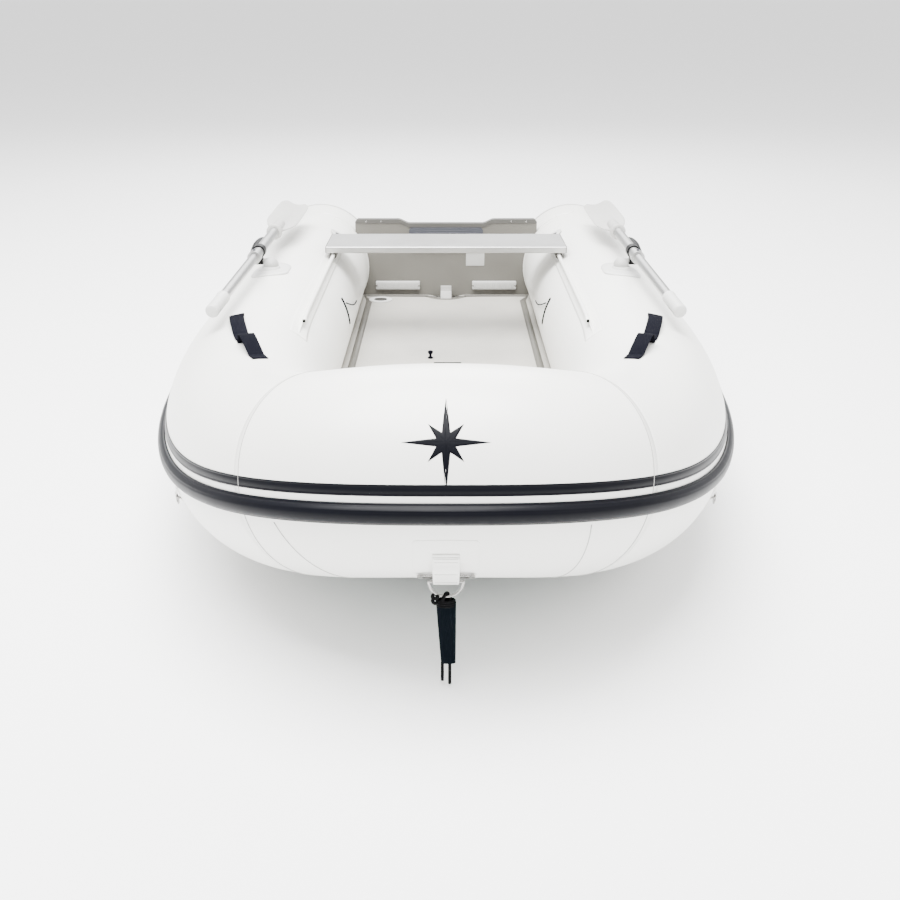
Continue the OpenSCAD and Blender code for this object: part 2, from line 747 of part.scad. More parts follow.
module shoulder_handles() {
    color("midnightblue") on_trim() both_sides() {
        strap(AFT_HANDLE, 93, handle_w, 2.6);
        strap(FORE_HANDLE, 96, handle_w, 2.6);
    }
}

module inner_straps() {
    color("black") on_trim() {
        both_sides() {
            skin_patch(-430, 164, 88, 16, 2.6);
            on_skin(-430, 158, 6) translate([0, 0, -250]) cylinder(h = 240, r = 2);
        }
        translate([-40, 398, floor_top + glue_gap]) cube([90, 16, 3]);
        translate([-52, 470, floor_top + glue_gap]) cylinder(h = 26, r = 9);
    }
}

// Lifeline route on the side tube: [distance aft, height above the fabric, place round the tube]
LIFELINE = [[1150, 9, 47], [1110, 9, 47], [1070, 14, 47], [1020, 22, 47], [950, 25, 47], [880, 21, 47],
    [820, 14, 46], [760, 9, 44], [700, 9, 42], [640, 9, 40], [560, 9, 40], [500, 9, 40], [440, 8, 41],
    [380, 7, 43], [310, 7, 45], [250, 9, 46], [190, 9, 47], [150, 9, 47]];

function line_pt(q) = polar(-q[0], R + q[1], q[2]);

module lifeline() {
    cord_tube([for (q = LIFELINE) line_pt(q)], line_d);
}

module port_lifeline() {
    color("black") on_trim() lifeline();
}

module starboard_lifeline() {
    color("black") on_trim() mirror([1, 0, 0]) lifeline();
}

// Fabric disc with a moulded tunnel for the line
module line_holder(y, deg, disc_r, block) {
    difference() {
        union() {
            intersection() {
                on_skin(-y, deg, -30) rotate([0, 90, 0]) cylinder(h = 60, r = disc_r);
                translate([A, y - disc_r - 1, R]) rotate([-90, 0, 0])
                    cylinder(h = 2 * disc_r + 2, r = R + glue_gap + 3, $fn = 120);
            }
            on_skin(-y, deg, 1) translate([0, -12, -block / 2]) cube([16, 24, block]);
        }
        translate([A, y - disc_r - 2, R]) rotate([-90, 0, 0]) cylinder(h = 2 * disc_r + 4, r = R + glue_gap, $fn = 120);
        on_skin(-y, deg, 9) translate([0, 0, -disc_r]) cylinder(h = 2 * disc_r, r = line_d / 2 + wall_gap);
    }
}

module line_holders() {
    color("gainsboro") on_trim() both_sides() {
        line_holder(1130, 47, 38, 34);
        line_holder(600, 40, 55, 70);
        line_holder(220, 46.5, 38, 30);
    }
}

module line_grips() {
    grip = [for (q = LIFELINE) if (q[0] > 819 && q[0] < 1071) line_pt(q)];
    bore = concat([grip[0] + 2 * (grip[0] - grip[1]) / norm(grip[0] - grip[1])],
        [for (i = [1:len(grip) - 2]) grip[i]],
        [grip[len(grip) - 1] + 2 * unit(grip[len(grip) - 1] - grip[len(grip) - 2])]);
    knob = line_pt([150, 9, 47]);
    color("black") on_trim() both_sides() {
        difference() {
            cord_tube(grip, 2 * grip_r);
            cord_tube(bore, line_d + 1);
        }
        translate(knob + [0, -14, 3]) sphere(12);
    }
}

// ---- oarlocks and oars, port side ----

module at_lock() {
    translate([lock_x, lock_y, lock_z]) children();
}

module at_oar() {
    at_lock() translate([clamp_x, 0, pad_h + run_gap + arm_z + shaft_rise]) rotate([oar_tilt, 0, oar_toe])
        rotate([-90, 0, 0]) children();
}

module oarlock_pad() {
    long = 180;
    wide = 116;
    difference() {
        union() {
            intersection() {
                at_lock() translate([0, 0, -60]) linear_extrude(120) {
                    square([wide, long - wide], center = true);
                    for (y = [-1, 1]) translate([0, y * (long - wide) / 2]) circle(wide / 2);
                }
                translate([A, lock_y - long, R]) rotate([-90, 0, 0]) cylinder(h = 2 * long, r = R + 5, $fn = 120);
            }
            at_lock() translate([0, 0, -12]) cylinder(h = 12 + pad_h, r = dome_r + 3);
        }
        translate([A, lock_y - long, R]) rotate([-90, 0, 0]) cylinder(h = 2 * long, r = R + glue_gap, $fn = 120);
        at_lock() translate([0, 0, 2]) cylinder(h = 30, r = pin_r + fit_gap);
    }
}

module oarlock_pads() {
    color("gainsboro") on_trim() both_sides() oarlock_pad();
}

module oarlock_pins() {
    color("silver") on_trim() both_sides() at_lock() translate([0, 0, 2]) cylinder(h = pad_h + 13, r = pin_r);
}

// Domed swivel with the stub that the clamp dips on
module lock_swivel() {
    at_lock() translate([0, 0, pad_h + run_gap]) difference() {
        union() {
            intersection() {
                rotate_extrude($fn = 96) union() {
                    square([dome_r, 8]);
                    intersection() {
                        translate([0, 8 - dome_bulge]) circle(norm([dome_r, dome_bulge]), $fn = 120);
                        square([dome_r, dome_h]);
                    }
                }
                translate([-2 * dome_r, -2 * dome_r, 0]) cube([2 * dome_r + dome_flat, 4 * dome_r, 60]);
            }
            translate([0, 0, arm_z]) rotate([0, 90, 0]) cylinder(h = clamp_x + clamp_w / 2 + 1, r = arm_r);
            translate([clamp_x + clamp_w / 2 + run_gap, 0, arm_z]) rotate([0, 90, 0]) cylinder(h = 3, r = arm_r + 4);
        }
        translate([0, 0, -1]) cylinder(h = 16.4, r = pin_r + fit_gap);
    }
}

// Clamp that grips the shaft and dips on the swivel's stub
module oar_clamp() {
    difference() {
        union() {
            at_lock() translate([clamp_x - clamp_w / 2, 0, pad_h + run_gap + arm_z]) {
                rotate([0, 90, 0]) cylinder(h = clamp_w, r = arm_r + 5);
                translate([0, -9, 0]) cube([clamp_w, 18, shaft_rise - shaft_r]);
            }
            at_oar() translate([0, 0, -15]) cylinder(h = 30, r = shaft_r + 4);
        }
        at_oar() translate([0, 0, -40]) cylinder(h = 80, r = shaft_r + fit_gap);
        at_lock() translate([0, 0, pad_h + run_gap + arm_z]) rotate([0, 90, 0])
            cylinder(h = 2 * clamp_x, r = arm_r + fit_gap);
    }
}

module outer_shaft() {
    at_oar() difference() {
        union() {
            translate([0, 0, joint_at]) cylinder(h = outer_len, r = shaft_r);
            translate([0, 0, joint_at]) cylinder(h = 34, r = shaft_r + 4);
        }
        translate([0, 0, joint_at - 1]) cylinder(h = outer_len + 2, r = shaft_r - shaft_wall);
        translate([0, 0, joint_at + 17]) rotate([90, 0, 0]) cylinder(h = 40, r = button_r + run_gap / 2);
    }
}

module inner_shaft() {
    at_oar() translate([0, 0, -inboard_len + 6]) difference() {
        cylinder(h = inboard_len - 6 + joint_at + engage_len, r = inner_shaft_r);
        translate([0, 0, -1]) cylinder(h = inboard_len + 80, r = inner_shaft_r - shaft_wall);
    }
}

module grip() {
    at_oar() translate([0, 0, -inboard_len]) difference() {
        cylinder(h = grip_len, r = shaft_r + 2);
        translate([0, 0, 5]) cylinder(h = grip_len, r = inner_shaft_r + fit_gap);
    }
}

module lock_button() {
    at_oar() translate([0, -shaft_r - 1, joint_at + 17]) rotate([90, 0, 0]) cylinder(h = 6.5, r = button_r);
}

BLADE_HALF = [[22, 0], [34, 30], [58, 80], [76, 130], [80, 170], [80, 400], [77, 450], [66, 478], [50, 490]];

module blade() {
    k = [blade_w / 160, blade_len / 490];
    half = [for (q = BLADE_HALF) [q[0] * k[0], q[1] * k[1]]];
    at_oar() translate([0, 0, blade_start]) difference() {
        union() {
            rotate([0, 0, blade_roll]) rotate([90, 0, 0]) translate([0, 0, -3]) linear_extrude(6)
                polygon(concat(half, mirrored(half)));
            translate([0, 0, -14]) cylinder(h = 14, r = shaft_r + 10);
            cylinder(h = 120, r = shaft_r + 4);
        }
        translate([0, 0, -15]) cylinder(h = outer_len + joint_at - blade_start + 15 + wall_gap, r = shaft_r + fit_gap);
    }
}

module port_lock_swivel() {
    color("gainsboro") on_trim() lock_swivel();
}

module starboard_lock_swivel() {
    color("gainsboro") on_trim() mirror([1, 0, 0]) lock_swivel();
}

module port_oar_clamp() {
    color("black") on_trim() oar_clamp();
}

module starboard_oar_clamp() {
    color("black") on_trim() mirror([1, 0, 0]) oar_clamp();
}

module port_outer_shaft() {
    color("silver") on_trim() outer_shaft();
}

module starboard_outer_shaft() {
    color("silver") on_trim() mirror([1, 0, 0]) outer_shaft();
}

module port_blade() {
    color("lightgray") on_trim() blade();
}

module starboard_blade() {
    color("lightgray") on_trim() mirror([1, 0, 0]) blade();
}

module port_inner_shaft() {
    color("silver") on_trim() inner_shaft();
}

module starboard_inner_shaft() {
    color("silver") on_trim() mirror([1, 0, 0]) inner_shaft();
}

module port_grip() {
    color("whitesmoke") on_trim() grip();
}

module starboard_grip() {
    color("whitesmoke") on_trim() mirror([1, 0, 0]) grip();
}

module port_lock_button() {
    color("dimgray") on_trim() lock_button();
}

module starboard_lock_button() {
    color("dimgray") on_trim() mirror([1, 0, 0]) lock_button();
}

// ---- bow and side rings ----

module ring_patches() {
    color("whitesmoke") on_trim() {
        loft(carried(concat([81], [for (s = BOW_S) if (abs(s - 90) < 9) s], [99]),
            arc_section(R + glue_gap, R + patch_t, -84, -14, 14)), band = true);
        both_sides() {
            loft(carried([34.5, 36, 38, 40, 41.5], arc_section(R + glue_gap, R + patch_t, -31, -11, 6)), band = true);
            on_skin(side_ring_at[0], side_ring_at[1], ring_lift) difference() {
                translate([glue_gap + patch_t - ring_lift, -4.5, -9]) cube([9, 9, 18]);
                cylinder(h = 20, r = side_ring_wire / 2 + fit_gap, center = true);
            }
        }
    }
}

// Folded strap that carries the ring's bar, with a cover layer over the oval keeper
module bow_strap() {
    base = R + 1.8;
    cover = base + 8.4;
    eye = rail(R + 9, bow_ring_deg);
    color("whitesmoke") on_trim() at_station(90) translate([0, 0, -bow_strap_w / 2]) linear_extrude(bow_strap_w)
        difference() {
            union() {
                polygon(arc_section(base, base + 1.6, bow_ring_deg, -25, 12));
                polygon(arc_section(cover, cover + 1.6, bow_ring_deg + 0.5, -36, 8));
                polygon([rail(base + 1, -31), rail(base + 1, -33.5), rail(cover, -37), rail(cover + 1.5, -36)]);
                translate(eye) circle(bow_ring_wire / 2 + 3.2);
            }
            translate(eye) circle(bow_ring_wire / 2 + fit_gap);
        }
}

function rail(r, deg) = [r * cos(deg), r * sin(deg)];

// Frame on the ring's bar, turned so that the ring hangs plumb once the hull is trimmed
module at_bow_ring() {
    at_station(90) rotate([0, 0, bow_ring_deg]) translate([R + 9, 0, 0])
        rotate([0, 0, -bow_ring_deg - trim_deg]) children();
}

module bow_ring() {
    half = ring_w / 2 - bow_ring_wire / 2;
    color("silver") on_trim() at_bow_ring() {
        cylinder(h = 2 * half, r = bow_ring_wire / 2, center = true);
        rotate([0, 90, 0]) rotate([0, 0, 180]) rotate_extrude(angle = 180, $fn = 96)
            translate([half, 0]) circle(bow_ring_wire / 2, $fn = 32);
        for (z = [-half, half]) translate([0, 0, z]) sphere(bow_ring_wire / 2, $fn = 32);
    }
}

// Flat oval keeper held between the two layers of the bow strap
module tow_ring() {
    color("dimgray") on_trim() at_station(90) rotate([0, 0, bow_ring_deg + 14]) translate([R + 3.8, 0, 0])
        rotate([0, 90, 0]) linear_extrude(4.6) difference() {
            oval(tow_ring_w, 20);
            oval(tow_ring_w - 20, 9);
        }
}

// Flat outline with round ends
module oval(long, wide) {
    hull()
        for (x = [-1, 1]) translate([x * (long - wide) / 2, 0]) circle(d = wide, $fn = 48);
}

// Frame at the middle of the wire, where the handle hangs on the ring
module at_handle() {
    at_bow_ring() translate([0, -(ring_w - bow_ring_wire) / 2, 0]) rotate([0, 90, 0]) children();
}

module bow_handle() {
    color("midnightblue") on_trim() at_handle() difference() {
        translate([0, 0, -sleeve_t / 2]) linear_extrude(sleeve_t) polygon([
            [-sleeve_w / 2, -sleeve_drop], [-sleeve_tip_w / 2, -sleeve_drop - sleeve_len],
            [sleeve_tip_w / 2, -sleeve_drop - sleeve_len], [sleeve_w / 2, -sleeve_drop]]);
        for (x = [-1, 1]) translate([x * cord_gap / 2, 0, 0]) rotate([90, 0, 0])
            cylinder(h = sleeve_drop + sleeve_len + 1, r = cord_d / 2 + wall_gap);
    }
}

// One cord: over the ring's wire, down both bores of the sleeve, with two free tails below it
module bow_cord() {
    x = cord_gap / 2;
    low = -sleeve_drop - sleeve_len;
    color("black") on_trim() at_handle()
        cord_tube([[-x, low - tail_len[0], 0], [-x, low - tail_len[0] / 2, 0], [-x, low, 0],
            [-x, -sleeve_drop - 3, 0], [-x, -8, 3.5], [-6, -3, 6.6], [-4, 2.5, 6.4], [-2, 6, 4], [0, 7.2, 0],
            [2, 6, -4], [4, 2.5, -6.4], [6, -3, -6.6], [x, -8, -3.5], [x, -sleeve_drop - 3, 0],
            [x, low, 0], [x, low - tail_len[1] / 2, 0], [x, low - tail_len[1], 0]], cord_d);
}

module side_ring() {
    r = side_ring_r;
    on_skin(side_ring_at[0], side_ring_at[1], ring_lift) rotate([0, 0, -side_ring_at[1]]) {
        cylinder(h = 2 * r, r = side_ring_wire / 2, center = true);
        rotate([0, 90, 0]) rotate([0, 0, 180]) rotate_extrude(angle = 180, $fn = 72)
            translate([r, 0]) circle(side_ring_wire / 2, $fn = 24);
        for (z = [-r, r]) translate([0, 0, z]) sphere(side_ring_wire / 2, $fn = 24);
    }
}

module port_side_ring() {
    color("silver") on_trim() side_ring();
}

module starboard_side_ring() {
    color("silver") on_trim() mirror([1, 0, 0]) side_ring();
}

bow_tube();
port_tube();
starboard_tube();
tube_baffles();
tail_cones();
rub_strake();
strake_stripe();
hull_skin();
keel_tube();
floor_skin();
drop_stitch_yarns();
valve_bodies();
transom_board();
transom_cap();
motor_pads();
floor_retainers();
centre_strap();
transom_flaps();
drain_tube();
seat_rails();
bolt_ropes();
shoulder_handles();
ring_patches();
bow_strap();
inner_straps();
port_lifeline();
starboard_lifeline();
line_holders();
line_grips();
oarlock_pads();
oarlock_pins();
floor_valve_cap();
port_valve_cap();
starboard_valve_cap();
bow_valve_cap();
drain_plug();
seat_plank();
seat_end_caps();
seat_channels();
port_lock_swivel();
starboard_lock_swivel();
port_oar_clamp();
starboard_oar_clamp();
port_outer_shaft();
starboard_outer_shaft();
port_blade();
starboard_blade();
port_inner_shaft();
starboard_inner_shaft();
port_grip();
starboard_grip();
port_lock_button();
starboard_lock_button();
tow_ring();
bow_ring();
bow_handle();
bow_cord();
port_side_ring();
starboard_side_ring();
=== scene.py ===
"""Visual model of an inflatable dinghy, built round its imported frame.

The hull is described level, in metres, with the bow towards -Y and port at +X, and
every point is then set down on its trim, which is read from the frame.
"""

from __future__ import annotations

import json
import logging
import math
from dataclasses import dataclass, field
from enum import Enum
from typing import Callable, Sequence

import bmesh
import bpy
from mathutils import Matrix, Vector

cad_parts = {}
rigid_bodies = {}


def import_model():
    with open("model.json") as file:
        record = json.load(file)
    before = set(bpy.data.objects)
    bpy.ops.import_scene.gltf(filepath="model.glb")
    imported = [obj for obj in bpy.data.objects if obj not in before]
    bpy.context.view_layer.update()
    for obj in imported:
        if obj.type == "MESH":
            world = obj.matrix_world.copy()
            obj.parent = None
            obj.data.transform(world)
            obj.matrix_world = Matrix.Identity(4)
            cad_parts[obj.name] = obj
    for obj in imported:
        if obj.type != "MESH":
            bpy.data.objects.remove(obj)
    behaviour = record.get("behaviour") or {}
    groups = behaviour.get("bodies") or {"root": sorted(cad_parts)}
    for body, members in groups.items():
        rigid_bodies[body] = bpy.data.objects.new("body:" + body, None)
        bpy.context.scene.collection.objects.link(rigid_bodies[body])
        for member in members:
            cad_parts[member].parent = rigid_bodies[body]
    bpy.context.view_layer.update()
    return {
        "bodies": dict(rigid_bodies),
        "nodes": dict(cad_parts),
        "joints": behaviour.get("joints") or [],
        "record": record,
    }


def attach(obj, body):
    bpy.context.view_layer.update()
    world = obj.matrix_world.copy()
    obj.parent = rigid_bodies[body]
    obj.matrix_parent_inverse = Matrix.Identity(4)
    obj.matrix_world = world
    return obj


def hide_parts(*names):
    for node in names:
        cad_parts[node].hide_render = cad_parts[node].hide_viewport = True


log = logging.getLogger("dinghy")

Ring = list[Vector]
MM = 0.001
TAU = 2 * math.pi
SEAM_AT = 64.0  # station of the seam between the port and bow chambers
BOW_AT = 90  # station of the foremost point


# ---- mesh helpers ----


def add_mesh(
    name: str,
    verts: Sequence[Vector],
    faces: Sequence[Sequence[int]],
    uvs: Sequence[tuple[float, float]] | None = None,
    outward: bool = True,
) -> bpy.types.Object:
    """Make a smooth-shaded object at the origin.

    Args:
        name: Name of the new object.
        verts: Corner points, in the row frame.
        faces: Corner numbers of each face.
        uvs: One map point per corner point, or None for no map.
        outward: Turn the faces outwards.

    Returns:
        The new object.
    """
    mesh = bpy.data.meshes.new(name)
    mesh.from_pydata([tuple(v) for v in verts], [], [tuple(f) for f in faces])
    if uvs is not None:
        layer = mesh.uv_layers.new(name="UVMap")
        for loop in mesh.loops:
            layer.data[loop.index].uv = uvs[loop.vertex_index]
    if outward:
        work = bmesh.new()
        work.from_mesh(mesh)
        bmesh.ops.recalc_face_normals(work, faces=work.faces)
        work.to_mesh(mesh)
        work.free()
    mesh.shade_smooth()
    obj = bpy.data.objects.new(name, mesh)
    bpy.context.collection.objects.link(obj)
    return obj


def loft(name: str, rings: Sequence[Ring], round_it: bool = True, caps: bool = True) -> bpy.types.Object:
    """Skin a list of rings that have the same number of points.

    Args:
        name: Name of the new object.
        rings: Rings of points, in order along the piece.
        round_it: Close each ring on itself.
        caps: Close the first and last ring with a face.

    Returns:
        The skinned object, with a map in metres.
    """
    count = len(rings[0])
    verts = [p for ring in rings for p in ring]
    uvs: list[tuple[float, float]] = []
    run = 0.0
    for k, ring in enumerate(rings):
        run += (ring[0] - rings[k - 1][0]).length if k else 0.0
        around = 0.0
        for i, p in enumerate(ring):
            around += (p - ring[i - 1]).length if i else 0.0
            uvs.append((around, run))
    faces: list[list[int]] = []
    for k in range(len(rings) - 1):
        for i in range(count if round_it else count - 1):
            j = (i + 1) % count
            faces.append([k * count + i, k * count + j, (k + 1) * count + j, (k + 1) * count + i])
    if caps and round_it:
        faces.append(list(range(count)))
        faces.append([(len(rings) - 1) * count + i for i in range(count)])
    return add_mesh(name, verts, faces, uvs)


def mirrored(obj: bpy.types.Object, name: str) -> bpy.types.Object:
    """Copy a port piece to starboard, with its faces outwards.

    Args:
        obj: The port piece.
        name: Name of the copy.

    Returns:
        The starboard piece.
    """
    mesh = obj.data.copy()
    mesh.name = name
    mesh.transform(Matrix.Scale(-1, 4, (1, 0, 0)))
    mesh.flip_normals()
    copy = bpy.data.objects.new(name, mesh)
    bpy.context.collection.objects.link(copy)
    return copy


def joined(name: str, pieces: Sequence[bpy.types.Object]) -> bpy.types.Object:
    """Join several objects into one.

    Args:
        name: Name of the result.
        pieces: Objects at the origin; they are used up.

    Returns:
        The joined object.
    """
    work = bmesh.new()
    for piece in pieces:
        work.from_mesh(piece.data)
    mesh = bpy.data.meshes.new(name)
    work.to_mesh(mesh)
    work.free()
    for material in pieces[0].data.materials:
        mesh.materials.append(material)
    for piece in pieces:
        old = piece.data
        bpy.data.objects.remove(piece)
        bpy.data.meshes.remove(old)
    mesh.shade_smooth()
    obj = bpy.data.objects.new(name, mesh)
    bpy.context.collection.objects.link(obj)
    return obj


def baked(obj: bpy.types.Object) -> bpy.types.Object:
    """Apply an object's modifiers and leave a plain mesh.

    Args:
        obj: The object.

    Returns:
        The piece.
    """
    graph = bpy.context.evaluated_depsgraph_get()
    mesh = bpy.data.meshes.new_from_object(obj.evaluated_get(graph))
    obj.modifiers.clear()
    obj.data = mesh
    return obj


def pair(port: bpy.types.Object) -> list[bpy.types.Object]:
    """Return a port piece with its mirror image."""
    return [port, mirrored(port, f"{port.name}_mirror")]


def heading(points: Sequence[Vector], i: int) -> Vector:
    """Step along a path at one of its points.

    Args:
        points: The path.
        i: Number of the point.

    Returns:
        The step from the point before it to the point after it.
    """
    return points[min(i + 1, len(points) - 1)] - points[max(i - 1, 0)]


def arch_normals(points: Sequence[Vector], across: Vector, out: Vector) -> list[Vector]:
    """Normals of an arch that stands on the fabric.

    Args:
        points: Path of the arch from foot to foot.
        across: Direction across its band.
        out: Direction that its crown faces.

    Returns:
        One direction per point.
    """
    ups = [heading(points, i).cross(across).normalized() for i in range(len(points))]
    if ups[len(ups) // 2].dot(out) < 0:
        ups = [-u for u in ups]
    return ups


def spokes(up: Vector, count: int) -> list[Vector]:
    """Unit directions spread evenly round an axis.

    Args:
        up: Direction of the axis.
        count: Number of directions.

    Returns:
        The directions in order.
    """
    side = up.orthogonal().normalized()
    other = up.cross(side)
    return [side * math.cos(TAU * k / count) + other * math.sin(TAU * k / count) for k in range(count)]


def split_outline(outline: Sequence[tuple[float, float]], spans: int) -> list[tuple[float, float]]:
    """Cut every side of a closed outline into equal spans.

    Args:
        outline: Corners in order.
        spans: Spans on each side.

    Returns:
        Points in order, starting with the first corner.
    """
    out = []
    for a, b in zip(outline, [*outline[1:], outline[0]]):
        out += [(a[0] + (b[0] - a[0]) * k / spans, a[1] + (b[1] - a[1]) * k / spans) for k in range(spans)]
    return out


def smoothed(points: Sequence[Vector], per_span: int) -> list[Vector]:
    """Run a smooth curve through a list of points.

    Args:
        points: Points that the curve passes through.
        per_span: New points for each span.

    Returns:
        Points along the curve, ends included.
    """
    ends = [points[0] * 2 - points[1], *points, points[-1] * 2 - points[-2]]
    out: list[Vector] = []
    for i in range(1, len(ends) - 2):
        a, b, c, d = ends[i - 1 : i + 3]
        for k in range(per_span):
            t = k / per_span
            out.append(
                (b * 2 + (c - a) * t + (a * 2 - b * 5 + c * 4 - d) * t**2 + (b * 3 - a - c * 3 + d) * t**3) / 2
            )
    out.append(points[-1].copy())
    return out


def tube_rings(
    points: Sequence[Vector], radius: Callable[[float, float], float], sides: int
) -> list[Ring]:
    """Round rings along a path, carried without twist.

    Args:
        points: Path of the tube's axis.
        radius: Radius at a distance along the path and an angle round it.
        sides: Points in each ring.

    Returns:
        One ring per path point.
    """
    rings: list[Ring] = []
    run = 0.0
    side = (points[1] - points[0]).orthogonal().normalized()
    for i, p in enumerate(points):
        ahead = heading(points, i).normalized()
        side = (side - ahead * side.dot(ahead)).normalized()
        up = ahead.cross(side)
        run += (p - points[i - 1]).length if i else 0.0
        angles = [TAU * k / sides for k in range(sides)]
        rings.append([p + (side * math.cos(a) + up * math.sin(a)) * radius(run, a) for a in angles])
    return rings


def ribbon(
    name: str, points: Sequence[Vector], normals: Sequence[Vector], width: float, thick: float
) -> bpy.types.Object:
    """Flat webbing along a path, with rounded edges.

    Args:
        name: Name of the new object.
        points: Path along the middle of the webbing's underside.
        normals: Direction away from what the webbing lies on, at each point.
        width: Width of the webbing.
        thick: Thickness of the webbing.

    Returns:
        The webbing.
    """
    rings: list[Ring] = []
    edge = thick / 2
    for i, (p, up) in enumerate(zip(points, normals)):
        ahead = heading(points, i).normalized()
        across = ahead.cross(up).normalized()
        top = across.cross(ahead).normalized()
        ring = []
        for sign in (1, -1):
            for k in range(5):
                a = math.radians(-90 + 45 * k)
                out = (width / 2 - edge) + edge * math.cos(a)
                ring.append(p + across * sign * out + top * (edge + edge * math.sin(a) * sign))
        rings.append(ring)
    return loft(name, rings)


# ---- Geometry Nodes ----


class Tree:
    """A Geometry Nodes tree under construction, with named inputs."""

    def __init__(self, name: str) -> None:
        """Start an empty tree with a geometry input and output.

        Args:
            name: Name of the new object.
        """
        self.group = bpy.data.node_groups.new(name, "GeometryNodeTree")
        self.group.interface.new_socket("Geometry", in_out="INPUT", socket_type="NodeSocketGeometry")
        self.group.interface.new_socket("Geometry", in_out="OUTPUT", socket_type="NodeSocketGeometry")
        self.entry = self.group.nodes.new("NodeGroupInput")
        self.exit = self.group.nodes.new("NodeGroupOutput")
        self.inputs: dict[str, str] = {}

    def size(self, label: str, kind: str = "NodeSocketFloat") -> bpy.types.NodeSocket:
        """Add a named input and return its socket in the tree.

        Args:
            label: Name of the input.
            kind: Blender's name of the socket type.

        Returns:
            The socket.
        """
        item = self.group.interface.new_socket(label, in_out="INPUT", socket_type=kind)
        self.inputs[label] = item.identifier
        return self.entry.outputs[label]

    def node(self, kind: str, **links: object) -> bpy.types.Node:
        """Add a node, set its properties and wire its inputs.

        Args:
            kind: Blender's name of the node.
            **links: Input name with underscores for spaces, and a socket or a value.

        Returns:
            The new node.
        """
        made = self.group.nodes.new(kind)
        for key, value in links.items():
            if key.startswith("set_"):
                setattr(made, key[4:], value)
                continue
            socket = made.inputs[key.replace("_", " ")]
            if isinstance(value, bpy.types.NodeSocket):
                self.group.links.new(value, socket)
            else:
                socket.default_value = value
        return made

    def finish(self, geometry: bpy.types.NodeSocket) -> None:
        """End the tree in Realize Instances and Set Material.

        Args:
            geometry: Geometry to end in.
        """
        solid = self.node("GeometryNodeRealizeInstances", Geometry=geometry)
        dress = self.node("GeometryNodeSetMaterial", Geometry=solid.outputs[0], Material=self.size(
            "Material", "NodeSocketMaterial"))
        self.group.links.new(dress.outputs[0], self.exit.inputs[0])

    def run(self, obj: bpy.types.Object, **values: object) -> bpy.types.Object:
        """Bake the tree on an object.

        Args:
            obj: The carrier, which becomes the result.
            **values: A value for each named input, with underscores for spaces.

        Returns:
            The same object as a plain mesh.
        """
        modifier = obj.modifiers.new(self.group.name, "NODES")
        modifier.node_group = self.group
        for label, identifier in self.inputs.items():
            modifier[identifier] = values[label.replace(" ", "_")]
        return baked(obj)


def path_object(
    name: str,
    points: Sequence[Vector],
    normals: Sequence[Vector],
    aheads: Sequence[Vector] | None = None,
) -> bpy.types.Object:
    """Mesh line along a path that carries directions for instances.

    Args:
        name: Name of the new object.
        points: Path points.
        normals: Direction that each instance's Z axis takes.
        aheads: Direction that each instance's X axis turns to, or None for the path's own.

    Returns:
        A mesh of edges with the vector attributes lie and ahead.
    """
    mesh = bpy.data.meshes.new(name)
    mesh.from_pydata([tuple(p) for p in points], [(i, i + 1) for i in range(len(points) - 1)], [])
    lie = mesh.attributes.new("lie", "FLOAT_VECTOR", "POINT")
    ahead = mesh.attributes.new("ahead", "FLOAT_VECTOR", "POINT")
    for i in range(len(points)):
        lie.data[i].vector = tuple(normals[i])
        ahead.data[i].vector = tuple(aheads[i] if aheads else heading(points, i).normalized())
    obj = bpy.data.objects.new(name, mesh)
    bpy.context.collection.objects.link(obj)
    return obj


def repeat_tree(name: str) -> Tree:
    """Tree that sets one small rounded bead on every point of its carrier.

    Args:
        name: Name of the tree.

    Returns:
        A tree with the inputs Length, Width, Height and Material.
    """
    tree = Tree(name)
    sizes = [tree.size(label) for label in ("Length", "Width", "Height")]
    size = tree.node("ShaderNodeCombineXYZ", X=sizes[0], Y=sizes[1], Z=sizes[2])
    bead = tree.node("GeometryNodeMeshIcoSphere", Radius=0.5, Subdivisions=2)
    shaped = tree.node("GeometryNodeTransform", Geometry=bead.outputs[0], Scale=size.outputs[0])
    lie = tree.node("GeometryNodeInputNamedAttribute", set_data_type="FLOAT_VECTOR", Name="lie")
    ahead = tree.node("GeometryNodeInputNamedAttribute", set_data_type="FLOAT_VECTOR", Name="ahead")
    turn = tree.node("FunctionNodeAlignRotationToVector", set_axis="Z", Vector=lie.outputs[0])
    spin = tree.node("FunctionNodeAlignRotationToVector", set_axis="X", set_pivot_axis="Z",
                     Rotation=turn.outputs[0], Vector=ahead.outputs[0])
    points = tree.node("GeometryNodeMeshToPoints", Mesh=tree.entry.outputs[0])
    copies = tree.node("GeometryNodeInstanceOnPoints", Points=points.outputs[0], Instance=shaped.outputs[0],
                       Rotation=spin.outputs[0])
    tree.finish(copies.outputs[0])
    return tree


# ---- finishes ----


class Pattern(Enum):
    """What a finish's fine relief looks like."""

    COATED = "coated cloth"
    STUDDED = "studded deck"
    WEBBING = "woven webbing"
    BRAID = "braided rope"
    BRUSHED = "brushed metal"
    MOULDED = "moulded plastic"
    RUBBER = "extruded rubber"
    POLISHED = "polished metal"


